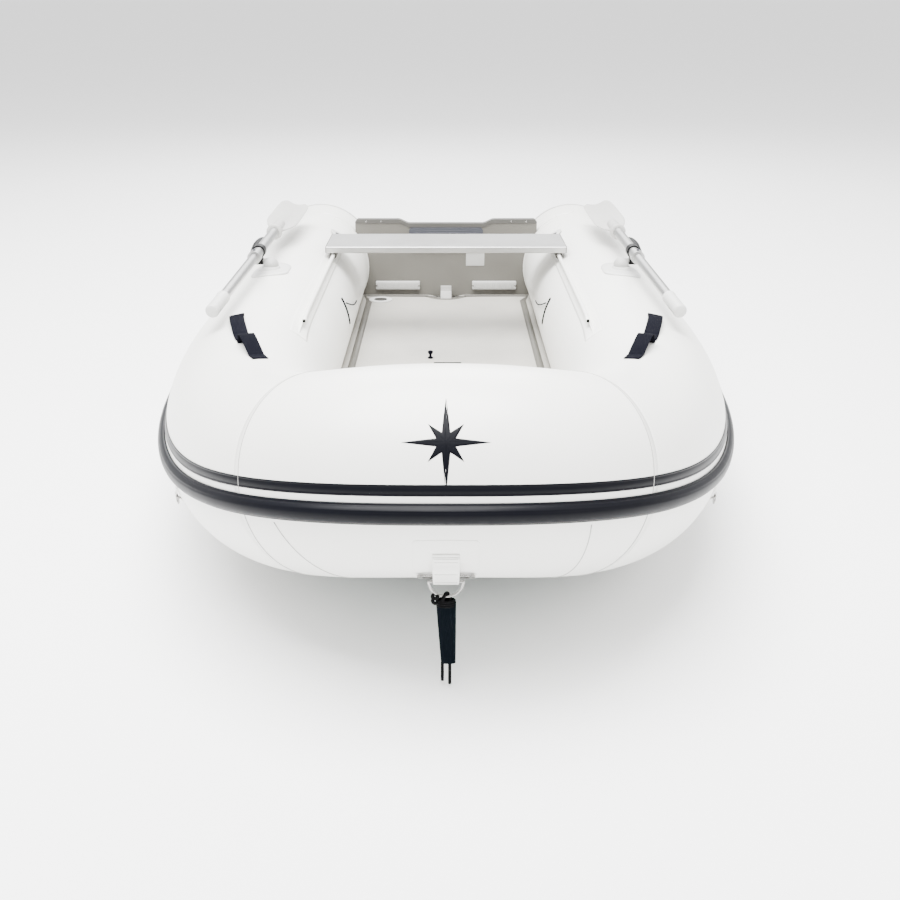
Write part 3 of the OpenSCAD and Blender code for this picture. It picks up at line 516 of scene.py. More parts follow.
@dataclass(frozen=True)
class Finish:
    """A procedural finish: colour, its variation, gloss and relief.

    Attributes:
        name: Name of the material.
        base: Main colour, linear.
        tint: Colour of the worn or shaded patches.
        pattern: Kind of fine relief.
        rough: Mean roughness.
        relief: Strength of the relief.
        metal: 1 for bare metal.
        coat: Weight of a clear gloss layer.
        mottle: Size of the colour patches, in patches per metre.
        shine: Strength of the mirror part of its gloss.
    """

    name: str
    base: tuple[float, float, float]
    tint: tuple[float, float, float]
    pattern: Pattern
    rough: float = 0.45
    relief: float = 0.2
    metal: float = 0.0
    coat: float = 0.0
    mottle: float = 3.0
    shine: float = 0.5

    def build(self) -> bpy.types.Material:
        """Make the material once and return it.

        Returns:
            The material.
        """
        label = f"{self.name} finish"
        done = bpy.data.materials.get(label)
        if done:
            return done
        material = bpy.data.materials.new(label)
        material.use_nodes = True
        nodes, links = material.node_tree.nodes, material.node_tree.links
        nodes.clear()
        out = nodes.new("ShaderNodeOutputMaterial")
        shader = nodes.new("ShaderNodeBsdfPrincipled")
        shader.inputs["Metallic"].default_value = self.metal
        shader.inputs["Coat Weight"].default_value = self.coat
        shader.inputs["Coat Roughness"].default_value = 0.25
        shader.inputs["Specular IOR Level"].default_value = self.shine
        links.new(shader.outputs[0], out.inputs[0])
        where = nodes.new("ShaderNodeTexCoord").outputs["Object"]
        patches = self._noise(material, where, self.mottle, 4.0)
        mix = nodes.new("ShaderNodeMix")
        mix.data_type = "RGBA"
        mix.inputs[6].default_value = (*self.base, 1)
        mix.inputs[7].default_value = (*self.tint, 1)
        ramp = nodes.new("ShaderNodeMapRange")
        ramp.inputs["From Min"].default_value = 0.42
        ramp.inputs["From Max"].default_value = 0.72
        links.new(patches, ramp.inputs["Value"])
        links.new(ramp.outputs[0], mix.inputs[0])
        links.new(mix.outputs[2], shader.inputs["Base Color"])
        gloss = nodes.new("ShaderNodeMapRange")
        gloss.inputs["To Min"].default_value = self.rough * 0.85
        gloss.inputs["To Max"].default_value = self.rough * 1.2
        links.new(self._noise(material, where, self.mottle * 7, 3.0), gloss.inputs["Value"])
        links.new(gloss.outputs[0], shader.inputs["Roughness"])
        height, reach = self._relief(material, where)
        bump = nodes.new("ShaderNodeBump")
        bump.inputs["Strength"].default_value = self.relief
        bump.inputs["Distance"].default_value = reach
        links.new(height, bump.inputs["Height"])
        links.new(bump.outputs[0], shader.inputs["Normal"])
        return material

    def _noise(
        self, material: bpy.types.Material, where: bpy.types.NodeSocket, scale: float, detail: float
    ) -> bpy.types.NodeSocket:
        """Noise at a scale, in patches per metre, as a socket.

        Args:
            material: Material that takes the nodes.
            where: Socket of the coordinates.
            scale: Scale of the pattern.
            detail: Detail of the noise.

        Returns:
            The socket.
        """
        noise = material.node_tree.nodes.new("ShaderNodeTexNoise")
        noise.inputs["Scale"].default_value = scale
        noise.inputs["Detail"].default_value = detail
        material.node_tree.links.new(where, noise.inputs["Vector"])
        return noise.outputs["Fac"]

    def _wave(
        self, material: bpy.types.Material, where: bpy.types.NodeSocket, scale: float, axis: str
    ) -> bpy.types.NodeSocket:
        """Straight bands across an axis, as a socket.

        Args:
            material: Material that takes the nodes.
            where: Socket of the coordinates.
            scale: Scale of the pattern.
            axis: Direction of the bands.

        Returns:
            The socket.
        """
        wave = material.node_tree.nodes.new("ShaderNodeTexWave")
        wave.bands_direction = axis
        wave.inputs["Scale"].default_value = scale
        material.node_tree.links.new(where, wave.inputs["Vector"])
        return wave.outputs["Fac"]

    def _sum(self, material: bpy.types.Material, *parts: bpy.types.NodeSocket) -> bpy.types.NodeSocket:
        """Sum of several heights.

        Args:
            material: Material that takes the nodes.
            *parts: Sockets to add up.

        Returns:
            The socket.
        """
        total = parts[0]
        for part in parts[1:]:
            add = material.node_tree.nodes.new("ShaderNodeMath")
            material.node_tree.links.new(total, add.inputs[0])
            material.node_tree.links.new(part, add.inputs[1])
            total = add.outputs[0]
        return total

    def _relief(
        self, material: bpy.types.Material, where: bpy.types.NodeSocket
    ) -> tuple[bpy.types.NodeSocket, float]:
        """Height of the fine relief and its depth in metres.

        Args:
            material: Material that takes the nodes.
            where: Socket of the coordinates.

        Returns:
            The socket and the depth.
        """
        nodes, links = material.node_tree.nodes, material.node_tree.links
        along_map = nodes.new("ShaderNodeTexCoord").outputs["UV"]
        if self.pattern is Pattern.STUDDED:
            cells = nodes.new("ShaderNodeTexVoronoi")
            cells.inputs["Scale"].default_value = 160
            cells.inputs["Randomness"].default_value = 0.35
            links.new(where, cells.inputs["Vector"])
            return self._sum(material, cells.outputs["Distance"], self._noise(material, where, 500, 2)), 0.0012
        if self.pattern is Pattern.WEBBING:
            ribs = self._wave(material, along_map, 160, "Y")
            return self._sum(material, ribs, self._wave(material, along_map, 90, "X")), 0.0005
        if self.pattern is Pattern.BRAID:
            ribs = self._wave(material, along_map, 120, "DIAGONAL")
            return self._sum(material, ribs, self._noise(material, where, 900, 2)), 0.0004
        if self.pattern is Pattern.BRUSHED:
            stretch = nodes.new("ShaderNodeMapping")
            stretch.inputs["Scale"].default_value = (1, 0.03, 1)
            links.new(where, stretch.inputs["Vector"])
            return self._noise(material, stretch.outputs[0], 900, 2), 0.0003
        if self.pattern is Pattern.COATED:
            wide = self._noise(material, where, 9, 3)
            return self._sum(material, wide, self._noise(material, where, 700, 2)), 0.0006
        scale = {Pattern.MOULDED: 800.0, Pattern.RUBBER: 400.0, Pattern.POLISHED: 30.0}[self.pattern]
        return self._noise(material, where, scale, 3), 0.0003


HULL_CLOTH = Finish(
    "hull_cloth", (0.84, 0.835, 0.80), (0.81, 0.805, 0.765),
    Pattern.COATED, 0.34, 0.22, coat=0.12,
)
BOTTOM_CLOTH = Finish(
    "bottom_cloth", (0.36, 0.4, 0.375), (0.32, 0.355, 0.335),
    Pattern.COATED, 0.4, 0.22,
)
# Grey cloth of welds, straps and trim; on the seam beads this darker grey is painted shade of the lapped
# seams' creases.
GREY_TRIM_AND_SEAM_SHADE = Finish("grey_trim_and_seam_shade", (0.4, 0.395, 0.38), (0.34, 0.335, 0.32), Pattern.COATED, 0.4, 0.2)
DECK_CLOTH = Finish(
    "deck_cloth", (0.4, 0.385, 0.35), (0.33, 0.318, 0.29),
    Pattern.STUDDED, 0.5, 0.45,
)
GREY_CLOTH = Finish(
    "grey_cloth", (0.115, 0.11, 0.095), (0.095, 0.09, 0.078),
    Pattern.COATED, 0.45, 0.25,
)
STRAKE_RUBBER = Finish(
    "strake_rubber", (0.0008, 0.001, 0.0026), (0.0014, 0.0017, 0.0036),
    Pattern.RUBBER, 0.36, 0.15, shine=0.1,
)
MARK_FILM = Finish(
    "mark_film", (0.0016, 0.0018, 0.0034), (0.0024, 0.0026, 0.0044),
    Pattern.MOULDED, 0.35, 0.1, shine=0.06,
)
WEBBING = Finish(
    "webbing", (0.0016, 0.0017, 0.004), (0.0024, 0.0026, 0.0056),
    Pattern.WEBBING, 0.75, 0.6, shine=0.03,
)
THREAD = Finish(
    "thread", (0.012, 0.012, 0.02), (0.009, 0.009, 0.015),
    Pattern.BRAID, 0.8, 0.3, shine=0.05,
)
ROPE = Finish(
    "rope", (0.004, 0.004, 0.0044), (0.006, 0.006, 0.0064),
    Pattern.BRAID, 0.8, 0.6, shine=0.04,
)
SLEEVE_CLOTH = Finish(
    "sleeve_cloth", (0.001, 0.0024, 0.0042), (0.0014, 0.0032, 0.0054),
    Pattern.WEBBING, 0.8, 0.5, shine=0.04,
)
PALE_PLASTIC = Finish(
    "pale_plastic", (0.4, 0.4, 0.385), (0.34, 0.34, 0.33),
    Pattern.MOULDED, 0.42, 0.15,
)
BLADE_PLASTIC = Finish(
    "blade_plastic", (0.42, 0.415, 0.4), (0.37, 0.365, 0.35),
    Pattern.MOULDED, 0.4, 0.15,
)
WHITE_PLASTIC = Finish(
    "white_plastic", (0.6, 0.6, 0.585), (0.54, 0.54, 0.525),
    Pattern.MOULDED, 0.35, 0.12,
)
DARK_PLASTIC = Finish(
    "dark_plastic", (0.04, 0.043, 0.055), (0.03, 0.032, 0.042),
    Pattern.MOULDED, 0.45, 0.2,
)
GREY_PLASTIC = Finish(
    "grey_plastic", (0.075, 0.072, 0.066), (0.058, 0.056, 0.051),
    Pattern.MOULDED, 0.5, 0.2, shine=0.3,
)
BLACK_PLASTIC = Finish(
    "black_plastic", (0.004, 0.004, 0.0045), (0.006, 0.006, 0.0065),
    Pattern.MOULDED, 0.4, 0.2, shine=0.12,
)
ALUMINIUM = Finish(
    "brushed_aluminium", (0.46, 0.46, 0.455), (0.38, 0.38, 0.375),
    Pattern.BRUSHED, 0.34, 0.1, 1.0,
)
STEEL = Finish(
    "polished_steel", (0.3, 0.295, 0.285), (0.24, 0.235, 0.225),
    Pattern.POLISHED, 0.22, 0.05, 1.0,
)


def dress(obj: bpy.types.Object, finish: Finish) -> bpy.types.Object:
    """Give an object one finish all over and return it.

    Args:
        obj: The object.
        finish: The finish.

    Returns:
        The piece.
    """
    obj.data.materials.clear()
    obj.data.materials.append(finish.build())
    return obj


def fit(obj: bpy.types.Object, body: str, slot: str, *nodes: str) -> bpy.types.Object:
    """Ride a piece on its body, hide the plain nodes that it replaces and log its size.

    Args:
        obj: The piece.
        body: Body that it moves with.
        slot: Not used.
        *nodes: Plain nodes that it replaces.

    Returns:
        The piece.
    """
    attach(obj, body)
    if nodes:
        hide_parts(*nodes)
    log.info("%s on %s, %d faces", obj.name, body, len(obj.data.polygons))
    return obj


# ---- the hull's line ----


@dataclass
class Trim:
    """How the level hull is set down on its keel and tube tails."""

    angle: float
    origin: Vector

    @classmethod
    def from_frame(cls, frame: dict) -> "Trim":
        """Read the trim from the seat's slide and the deck mount.

        Args:
            frame: The loaded frame.

        Returns:
            The trim.
        """
        record = frame["record"]
        joints = record["behaviour"]["joints"]
        axis = next(j["axis"] for j in joints if j["name"] == "seat_slide")
        angle = math.atan2(axis[2], -axis[1])
        deck = next(m["pos_m"] for m in record["mounts"] if m["name"] == "deck")
        trim = cls(angle, Vector((0, 0, 0)))
        level_deck = Vector((0, 0.6, 0.096))
        trim.origin = Vector(deck) - trim.place(level_deck)
        return trim

    def turn(self, v: Vector) -> Vector:
        """Turn a level direction to the trimmed hull."""
        c, s = math.cos(self.angle), math.sin(self.angle)
        return Vector((v.x, v.y * c + v.z * s, v.z * c - v.y * s))

    def place(self, v: Vector) -> Vector:
        """Set a level point down on the trim."""
        return self.turn(v) + self.origin

    def lower(self, obj: bpy.types.Object) -> bpy.types.Object:
        """Set a level object's mesh down on the trim and return it.

        Args:
            obj: The object.

        Returns:
            The piece.
        """
        c, s = math.cos(self.angle), math.sin(self.angle)
        obj.data.transform(Matrix((
            (1, 0, 0, self.origin.x),
            (0, c, s, self.origin.y),
            (0, -s, c, self.origin.z),
            (0, 0, 0, 1),
        )))
        return obj


@dataclass
class HullLine:
    """Axis of the hull's tube and points on its fabric, port half first.

    A station at or under 0 lies on the port tube, that many metres ahead of the bow curve's
    start, so -1 is one metre aft of it. From 0 to 180 the station is an angle round the bow.
    """

    trim: Trim
    radius: float = 0.210
    half_spacing: float = 0.524
    side_len: float = 1.640
    bow_len: float = 1.072
    squareness: float = 2.3
    bow_rise: float = 0.113
    rise_start: float = 0.210
    rise_power: float = 4.4

    def axis(self, s: float) -> Vector:
        """Point on the tube's axis.

        Args:
            s: Station on the tube.

        Returns:
            The point or direction.
        """
        if s <= 0:
            return Vector((self.half_spacing, -s, self.radius))
        if s >= 180:
            return Vector((-self.half_spacing, (s - 180), self.radius))
        c, n = math.cos(math.radians(s)), math.sin(math.radians(s))
        y = -self.bow_len * n ** (2 / self.squareness)
        share = max(0.0, (-self.rise_start - y) / (self.bow_len - self.rise_start))
        rise = self.bow_rise * share**self.rise_power
        x = self.half_spacing * math.copysign(abs(c) ** (2 / self.squareness), c)
        return Vector((x, y, self.radius + rise))

    def along(self, s: float) -> Vector:
        """Direction along the tube, from the port tail round the bow.

        Args:
            s: Station on the tube.

        Returns:
            The point or direction.
        """
        if s <= 0:
            return Vector((0, -1, 0))
        if s >= 180:
            return Vector((0, 1, 0))
        return (self.axis(s + 0.4) - self.axis(s - 0.4)).normalized()

    def outward(self, s: float) -> Vector:
        """Level direction away from the cockpit."""
        return Vector((0, 0, 1)).cross(self.along(s)).normalized()

    def upward(self, s: float) -> Vector:
        """Direction up in the tube's section."""
        return self.along(s).cross(self.outward(s))

    def normal(self, s: float, deg: float) -> Vector:
        """Level direction out of the fabric, 0 outboard and 90 on top."""
        a = math.radians(deg)
        return self.outward(s) * math.cos(a) + self.upward(s) * math.sin(a)

    def level(self, s: float, deg: float, lift: float = 0.0) -> Vector:
        """Level point above the fabric."""
        return self.axis(s) + self.normal(s, deg) * (self.radius + lift)

    def on(self, s: float, deg: float, lift: float = 0.0) -> Vector:
        """Trimmed point above the fabric."""
        return self.trim.place(self.level(s, deg, lift))

    def out(self, s: float, deg: float) -> Vector:
        """Trimmed direction out of the fabric."""
        return self.trim.turn(self.normal(s, deg))

    def patch(
        self, name: str, s: float, deg: float, outline: Sequence[tuple[float, float]], thick: float
    ) -> bpy.types.Object:
        """Flat patch bonded to the tube, with a soft raised edge.

        Args:
            name: Name of the new object.
            s: Station of the patch's middle.
            deg: Place of its middle round the tube.
            outline: Rim as (along, around) metres from the middle, in order.
            thick: Thickness of the patch.

        Returns:
            The patch.
        """
        steps = [(1.0, 0.0003), (1.0, thick * 0.7), (0.985, thick), (0.8, thick), (0.6, thick), (0.4, thick),
                 (0.2, thick), (0.0, thick)]
        rings: list[Ring] = []
        for share, lift in steps:
            rings.append([self.spot(s, deg, a * share, b * share, lift) for a, b in outline])
        return loft(name, rings, caps=False)

    def spot(self, s: float, deg: float, along: float, around: float, lift: float) -> Vector:
        """Trimmed point at a distance along and around the fabric from a station.

        Args:
            s: Station.
            deg: Place round the tube.
            along: Metres towards higher stations.
            around: Metres towards higher angles.
            lift: Height above the fabric.

        Returns:
            The point.
        """
        angle = deg + math.degrees(around / self.radius)
        if s <= 0:
            return self.on(min(s + along, 0.0), angle, lift)
        step = (self.level(s + 0.5, deg) - self.level(s - 0.5, deg)).length
        return self.on(s + along / step, angle, lift)


def rounded_outline(length: float, width: float, corner: float, steps: int = 6) -> list[tuple[float, float]]:
    """Rectangle with round corners as an outline for a patch.

    Args:
        length: Full size along the tube.
        width: Full size around the tube.
        corner: Corner radius.
        steps: Spans in each corner.

    Returns:
        Points in order round the rim.
    """
    out: list[tuple[float, float]] = []
    for q, (sx, sy) in enumerate(((1, 1), (-1, 1), (-1, -1), (1, -1))):
        for k in range(steps + 1):
            a = math.radians(90 * q + 90 * k / steps)
            out.append((sx * (length / 2 - corner) + corner * math.cos(a),
                        sy * (width / 2 - corner) + corner * math.sin(a)))
    return out


def disc_outline(radius: float, steps: int = 40) -> list[tuple[float, float]]:
    """Circle as an outline for a patch."""
    return [(radius * math.cos(TAU * k / steps), radius * math.sin(TAU * k / steps)) for k in range(steps)]


# ---- air tubes ----


@dataclass
class AirTubes:
    """The three chambers of the horseshoe tube, their tails and seams."""

    line: HullLine
    seam: float = SEAM_AT
    sides: int = 96
    lap: float = 0.0008
    cone_len: float = 0.160
    cone_end: float = 0.105

    def build(self) -> None:
        """Build and dress the tubes."""
        port = self.side()
        fit(dress(port, HULL_CLOTH), "hull", "hull_fabric", "port_tube")
        fit(dress(mirrored(port, "starboard_chamber"), HULL_CLOTH), "hull", "hull_fabric", "starboard_tube",
            "tail_cones")
        fit(dress(self.bow(), HULL_CLOTH), "hull", "hull_fabric", "bow_tube")
        # The seam beads are partly real welds and partly painted shade: their darker grey paints the crease of
        # each lapped seam.
        fit(dress(self.seams(), GREY_TRIM_AND_SEAM_SHADE), "hull", "hull_fabric")
        fit(dress(self.tail_rings(), GREY_TRIM_AND_SEAM_SHADE), "hull", "hull_fabric")

    def ring(self, s: float, radius: float) -> Ring:
        """One ring of a tube in place."""
        return [self.line.on(s, 360 * k / self.sides, radius - self.line.radius) for k in range(self.sides)]

    def side(self) -> bpy.types.Object:
        """The port chamber with its tail cone.

        Returns:
            The piece.
        """
        end = self.line.side_len
        back = end + self.cone_len
        rim = self.cone_end
        big = self.line.radius
        tail = [(back, 0.002), (back, rim - 0.020), (back - 0.002, rim - 0.007), (back - 0.007, rim),
                (end + 0.012, big - 0.004), (end + 0.004, big - 0.0008)]
        rings = [self.ring(-y, r) for y, r in tail]
        rings += [self.ring(-end * (1 - k / 24), big) for k in range(25)]
        rings += [self.ring(self.seam * k / 40, big) for k in range(1, 41)]
        return loft("port_chamber", rings, caps=True)

    def bow(self) -> bpy.types.Object:
        """The bow chamber, lapped over both side chambers.

        Returns:
            The piece.
        """
        start = self.seam - 0.9
        stop = 180 - start
        count = 56
        big = self.line.radius
        rings = [self.ring(start, big)]
        rings += [self.ring(start + (stop - start) * k / count, big + self.lap) for k in range(count + 1)]
        rings.append(self.ring(stop, big))
        return loft("bow_chamber", rings)

    def seams(self) -> bpy.types.Object:
        """Welded beads along the chamber joints and the lower panel joints; their darker grey is painted shade
        of the creases at the lapped seams.

        Returns:
            The piece.
        """
        runs = [[self.line.on(s, deg, self.lap) for deg in range(-176, 181, 4)]
                for s in (self.seam, 180 - self.seam)]
        runs += [[self.line.on(s + (deg + 8) * 0.06, deg, self.lap) for deg in range(-100, -7, 4)]
                 for s in (73, 111)]
        beads = [loft(f"seam_{i}", tube_rings(run, lambda _run, _a: 0.0012, 6)) for i, run in enumerate(runs)]
        return joined("seam_shade_beads", beads)

    def tail_rings(self) -> bpy.types.Object:
        """Welded band where each tail cone meets its tube.

        Returns:
            The piece.
        """
        pieces = []
        section = ((-0.022, 0.0), (-0.0215, 0.0009), (0.0, 0.0009), (0.006, -0.0003), (0.006, -0.002))
        for side in (1, -1):
            rings = []
            for y, lift in section:
                ring = self.ring(-(self.line.side_len + y), self.line.radius + lift)
                rings.append([Vector((p.x * side, p.y, p.z)) for p in ring])
            pieces.append(loft(f"tail_band_{side}", rings, caps=False))
        return joined("tail_bands", pieces)


@dataclass
class Strake:
    """Rubbing strake and the flat stripe above it."""

    line: HullLine
    width: float = 0.043
    gap: float = 0.0125
    stripe: float = 0.0215
    stripe_thick: float = 0.0016
    stations: list[float] = field(default_factory=list)

    def __post_init__(self) -> None:
        """Work out the stations that the strake passes."""
        end = self.line.side_len
        half = [-end * (1 - k / 20) for k in range(20)] + [SEAM_AT * (k / 36) ** 1.2 for k in range(37)]
        bow = [SEAM_AT + (180 - 2 * SEAM_AT) * k / 24 for k in range(1, 24)]
        self.stations = half + bow + [180 - s for s in reversed(half)]

    def build(self) -> None:
        """Build and dress both bands."""
        for name, section, node in (("rubbing_strake", self.profile(), "rub_strake"),
                                    ("stripe_band", self.flat(), "strake_stripe")):
            fit(dress(self.swept(name, section), STRAKE_RUBBER), "hull", "strake_rubber", node)

    def profile(self) -> list[tuple[float, float]]:
        """Section of the strake as (degrees round the tube, height).

        Returns:
            The points in order.
        """
        half = math.degrees(self.width / 2 / self.line.radius)
        shape = [(-1.0, 0.0003), (-1.0, 0.003), (-0.93, 0.0045), (-0.84, 0.0045), (-0.80, 0.0075),
                 (-0.66, 0.012), (-0.45, 0.0158), (-0.2, 0.0176), (0.0, 0.018), (0.2, 0.0176),
                 (0.36, 0.0166), (0.42, 0.0152), (0.48, 0.0152), (0.54, 0.0142), (0.70, 0.0108),
                 (0.80, 0.0075), (0.84, 0.0045), (0.93, 0.0045), (1.0, 0.003), (1.0, 0.0003)]
        return [(x * half, h) for x, h in shape]

    def flat(self) -> list[tuple[float, float]]:
        """Section of the stripe.

        Returns:
            The points in order.
        """
        low = math.degrees((self.width / 2 + self.gap) / self.line.radius)
        wide = math.degrees(self.stripe / self.line.radius)
        t = self.stripe_thick
        shape = [(0, 0.0003), (0, t * 0.7), (0.05, t), (0.16, t), (0.2, t * 0.65), (0.24, t), (0.76, t),
                 (0.8, t * 0.65), (0.84, t), (0.95, t), (1, t * 0.7), (1, 0.0003)]
        return [(low + wide * x, h) for x, h in shape]

    def swept(self, name: str, section: Sequence[tuple[float, float]]) -> bpy.types.Object:
        """Carry a section round the whole hull."""
        return loft(name, [[self.line.on(s, deg, h) for deg, h in section] for s in self.stations])


@dataclass
class Bottom:
    """The V bottom's fabric with its keel guard."""

    line: HullLine
    keel_depth: float = 0.095
    keel_fwd: float = 0.650
    aft: float = 1.422
    edge_deg: float = -115.0
    stem_len: float = 0.333
    stem_top: float = 0.1327
    board: float = 1.395
    skin_thick: float = 0.0011
    guard_aft: float = 1.40
    guard_len: float = 2.03

    def build(self) -> None:
        """Build and dress the bottom."""
        fit(dress(self.skin(), BOTTOM_CLOTH), "hull", "bottom_fabric", "hull_skin")
        fit(dress(self.guard(), GREY_TRIM_AND_SEAM_SHADE), "hull", "bottom_fabric")

    def row(self, s: float, steps: int, keel: Callable[[float], float], lift: float) -> Ring:
        """Level row of the bottom from starboard to port.

        Args:
            s: Station on the tube.
            steps: Spans in the row.
            keel: Height of the keel line at a place along the hull.
            lift: Height above the fabric.

        Returns:
            The row's points in order.
        """
        edge = self.line.level(s, self.edge_deg, 0.0004)
        soft = 0.12
        out: Ring = []
        for i in range(steps + 1):
            w = 2 * i / steps - 1
            f = (math.sqrt(w * w + soft**2) - soft) / (math.sqrt(1 + soft**2) - soft)
            out.append(Vector((edge.x * w, edge.y, keel(edge.y) + (edge.z - keel(edge.y)) * f + lift)))
        return out

    def keel(self, y: float) -> float:
        """Height of the keel line under the level hull.

        Args:
            y: Place along the level hull.

        Returns:
            The size in metres.
        """
        if y >= -self.keel_fwd:
            return -self.keel_depth * (self.board - y) / (self.board + self.keel_fwd)
        share = (-self.keel_fwd - y) / self.stem_len
        return -self.keel_depth + (self.stem_top + self.keel_depth) * share**2

    def skin(self) -> bpy.types.Object:
        """The bottom's fabric.

        Returns:
            The piece.
        """
        stations = [-self.aft * (1 - k / 12) for k in range(12)] + [84 * (k / 36) ** 1.2 for k in range(37)]
        rings = []
        for s in stations:
            low = self.row(s, 36, self.keel, 0.0)
            high = self.row(s, 36, self.keel, self.skin_thick)
            rings.append([self.line.trim.place(p) for p in low + high[::-1]])
        return loft("bottom_skin", rings)

    def guard(self) -> bpy.types.Object:
        """Chafe strip along the keel line.

        Returns:
            The piece.
        """
        ys = [self.guard_aft - self.guard_len * k / 40 for k in range(41)]
        points = [self.line.trim.place(Vector((0, y, self.keel(y) + 0.0004))) for y in ys]
        up = self.line.trim.turn(Vector((0, 0, 1)))
        return ribbon("keel_guard", points, [up] * len(points), 0.05, 0.0012)


# ---- cockpit ----


@dataclass
class AirFloor:
    """Drop-stitch floor with soft edges and a border tape."""

    line: HullLine
    low: float = 0.026
    top: float = 0.096
    edge_gap: float = 0.17896
    rear: float = 1.390
    front: float = 0.690
    scoop: float = 0.052
    scoop_wide: float = 0.150
    tape: tuple[float, float] = (0.026, 0.050)
    tape_thick: float = 0.0009

    def outline(self) -> list[tuple[float, float]]:
        """Level outline, from the port stern corner forwards and round.

        Returns:
            The points in order.
        """
        side: list[tuple[float, float]] = []
        for k in range(33):
            s = SEAM_AT * (k / 32) ** 1.15
            p = self.line.axis(s) - self.line.outward(s) * self.edge_gap
            if p.y > -self.front:
                side.append((p.x, p.y))
        tail = [(side[0][0], self.rear * (1 - k / 12)) for k in range(12)]
        half = tail + side + [(side[-1][0] * k / 6, -self.front) for k in range(5, 0, -1)]
        scoop = [(self.scoop_wide * k / 24, self.rear - self.scoop * (1 + math.cos(math.pi * k / 12)) / 2)
                 for k in range(-12, 13)]
        return half + [(0.0, -self.front)] + [(-x, y) for x, y in reversed(half)] + scoop

    def inset(self, outline: Sequence[tuple[float, float]], depth: float) -> list[tuple[float, float]]:
        """Outline moved inwards.

        Args:
            outline: Points, clockwise seen from above.
            depth: Distance to move.

        Returns:
            The moved points.
        """
        out = []
        n = len(outline)
        for i, (x, y) in enumerate(outline):
            (ax, ay), (bx, by) = outline[i - 1], outline[(i + 1) % n]
            run = Vector((bx - ax, by - ay)).normalized()
            out.append((x + run.y * depth, y - run.x * depth))
        return out

    def build(self) -> None:
        """Build and dress the floor."""
        rim = self.outline()
        steps = [(0.014, 0.0), (0.006, 0.002), (0.002, 0.006), (0.0, 0.016), (0.0, 0.054), (0.002, 0.064),
                 (0.006, 0.068), (0.014, 0.070), (0.030, 0.070)]
        rings = [[self.line.trim.place(Vector((x, y, self.low + up))) for x, y in self.inset(rim, deep)]
                 for deep, up in steps]
        floor = loft("air_floor", rings)
        fit(dress(floor, DECK_CLOTH), "hull", "floor_fabric", "floor_skin")
        outer, inner = ([self.line.trim.place(Vector((x, y, self.top))) for x, y in self.inset(rim, deep)]
                        for deep in self.tape)
        lift = self.line.trim.turn(Vector((0, 0, self.tape_thick)))
        n = len(outer)
        tape = loft("floor_tape", [[outer[i % n], outer[i % n] + lift, inner[i % n] + lift, inner[i % n]]
                                   for i in range(n + 1)], caps=False)
        fit(dress(tape, GREY_CLOTH), "hull", "floor_fabric")


def lathe(
    name: str, base: Vector, up: Vector, profile: Sequence[tuple[float, float]], sides: int = 48
) -> bpy.types.Object:
    """Turn a profile about an axis.

    Args:
        name: Name of the new object.
        base: Point on the axis at height 0.
        up: Direction of the axis.
        profile: (radius, height) pairs from the bottom to the top.
        sides: Points in each ring.

    Returns:
        The turned piece.
    """
    up = up.normalized()
    around = spokes(up, sides)
    return loft(name, [[base + up * h + spoke * r for spoke in around] for r, h in profile])


def block(name: str, centre: Vector, size: Vector, trim: Trim, round_by: float) -> bpy.types.Object:
    """Level block with rounded edges, set down on the trim.

    Args:
        name: Name of the new object.
        centre: Level middle point.
        size: Full sizes.
        trim: The hull's trim.
        round_by: Radius of its edges.

    Returns:
        The block as a plain mesh.
    """
    work = bmesh.new()
    bmesh.ops.create_cube(work, size=1.0)
    bmesh.ops.scale(work, vec=size, verts=work.verts)
    bmesh.ops.bevel(work, geom=work.edges[:], offset=round_by, segments=4, affect="EDGES", profile=0.5)
    mesh = bpy.data.meshes.new(name)
    work.to_mesh(mesh)
    work.free()
    mesh.transform(Matrix.Translation(centre))
    mesh.shade_smooth()
    obj = bpy.data.objects.new(name, mesh)
    bpy.context.collection.objects.link(obj)
    return trim.lower(obj)


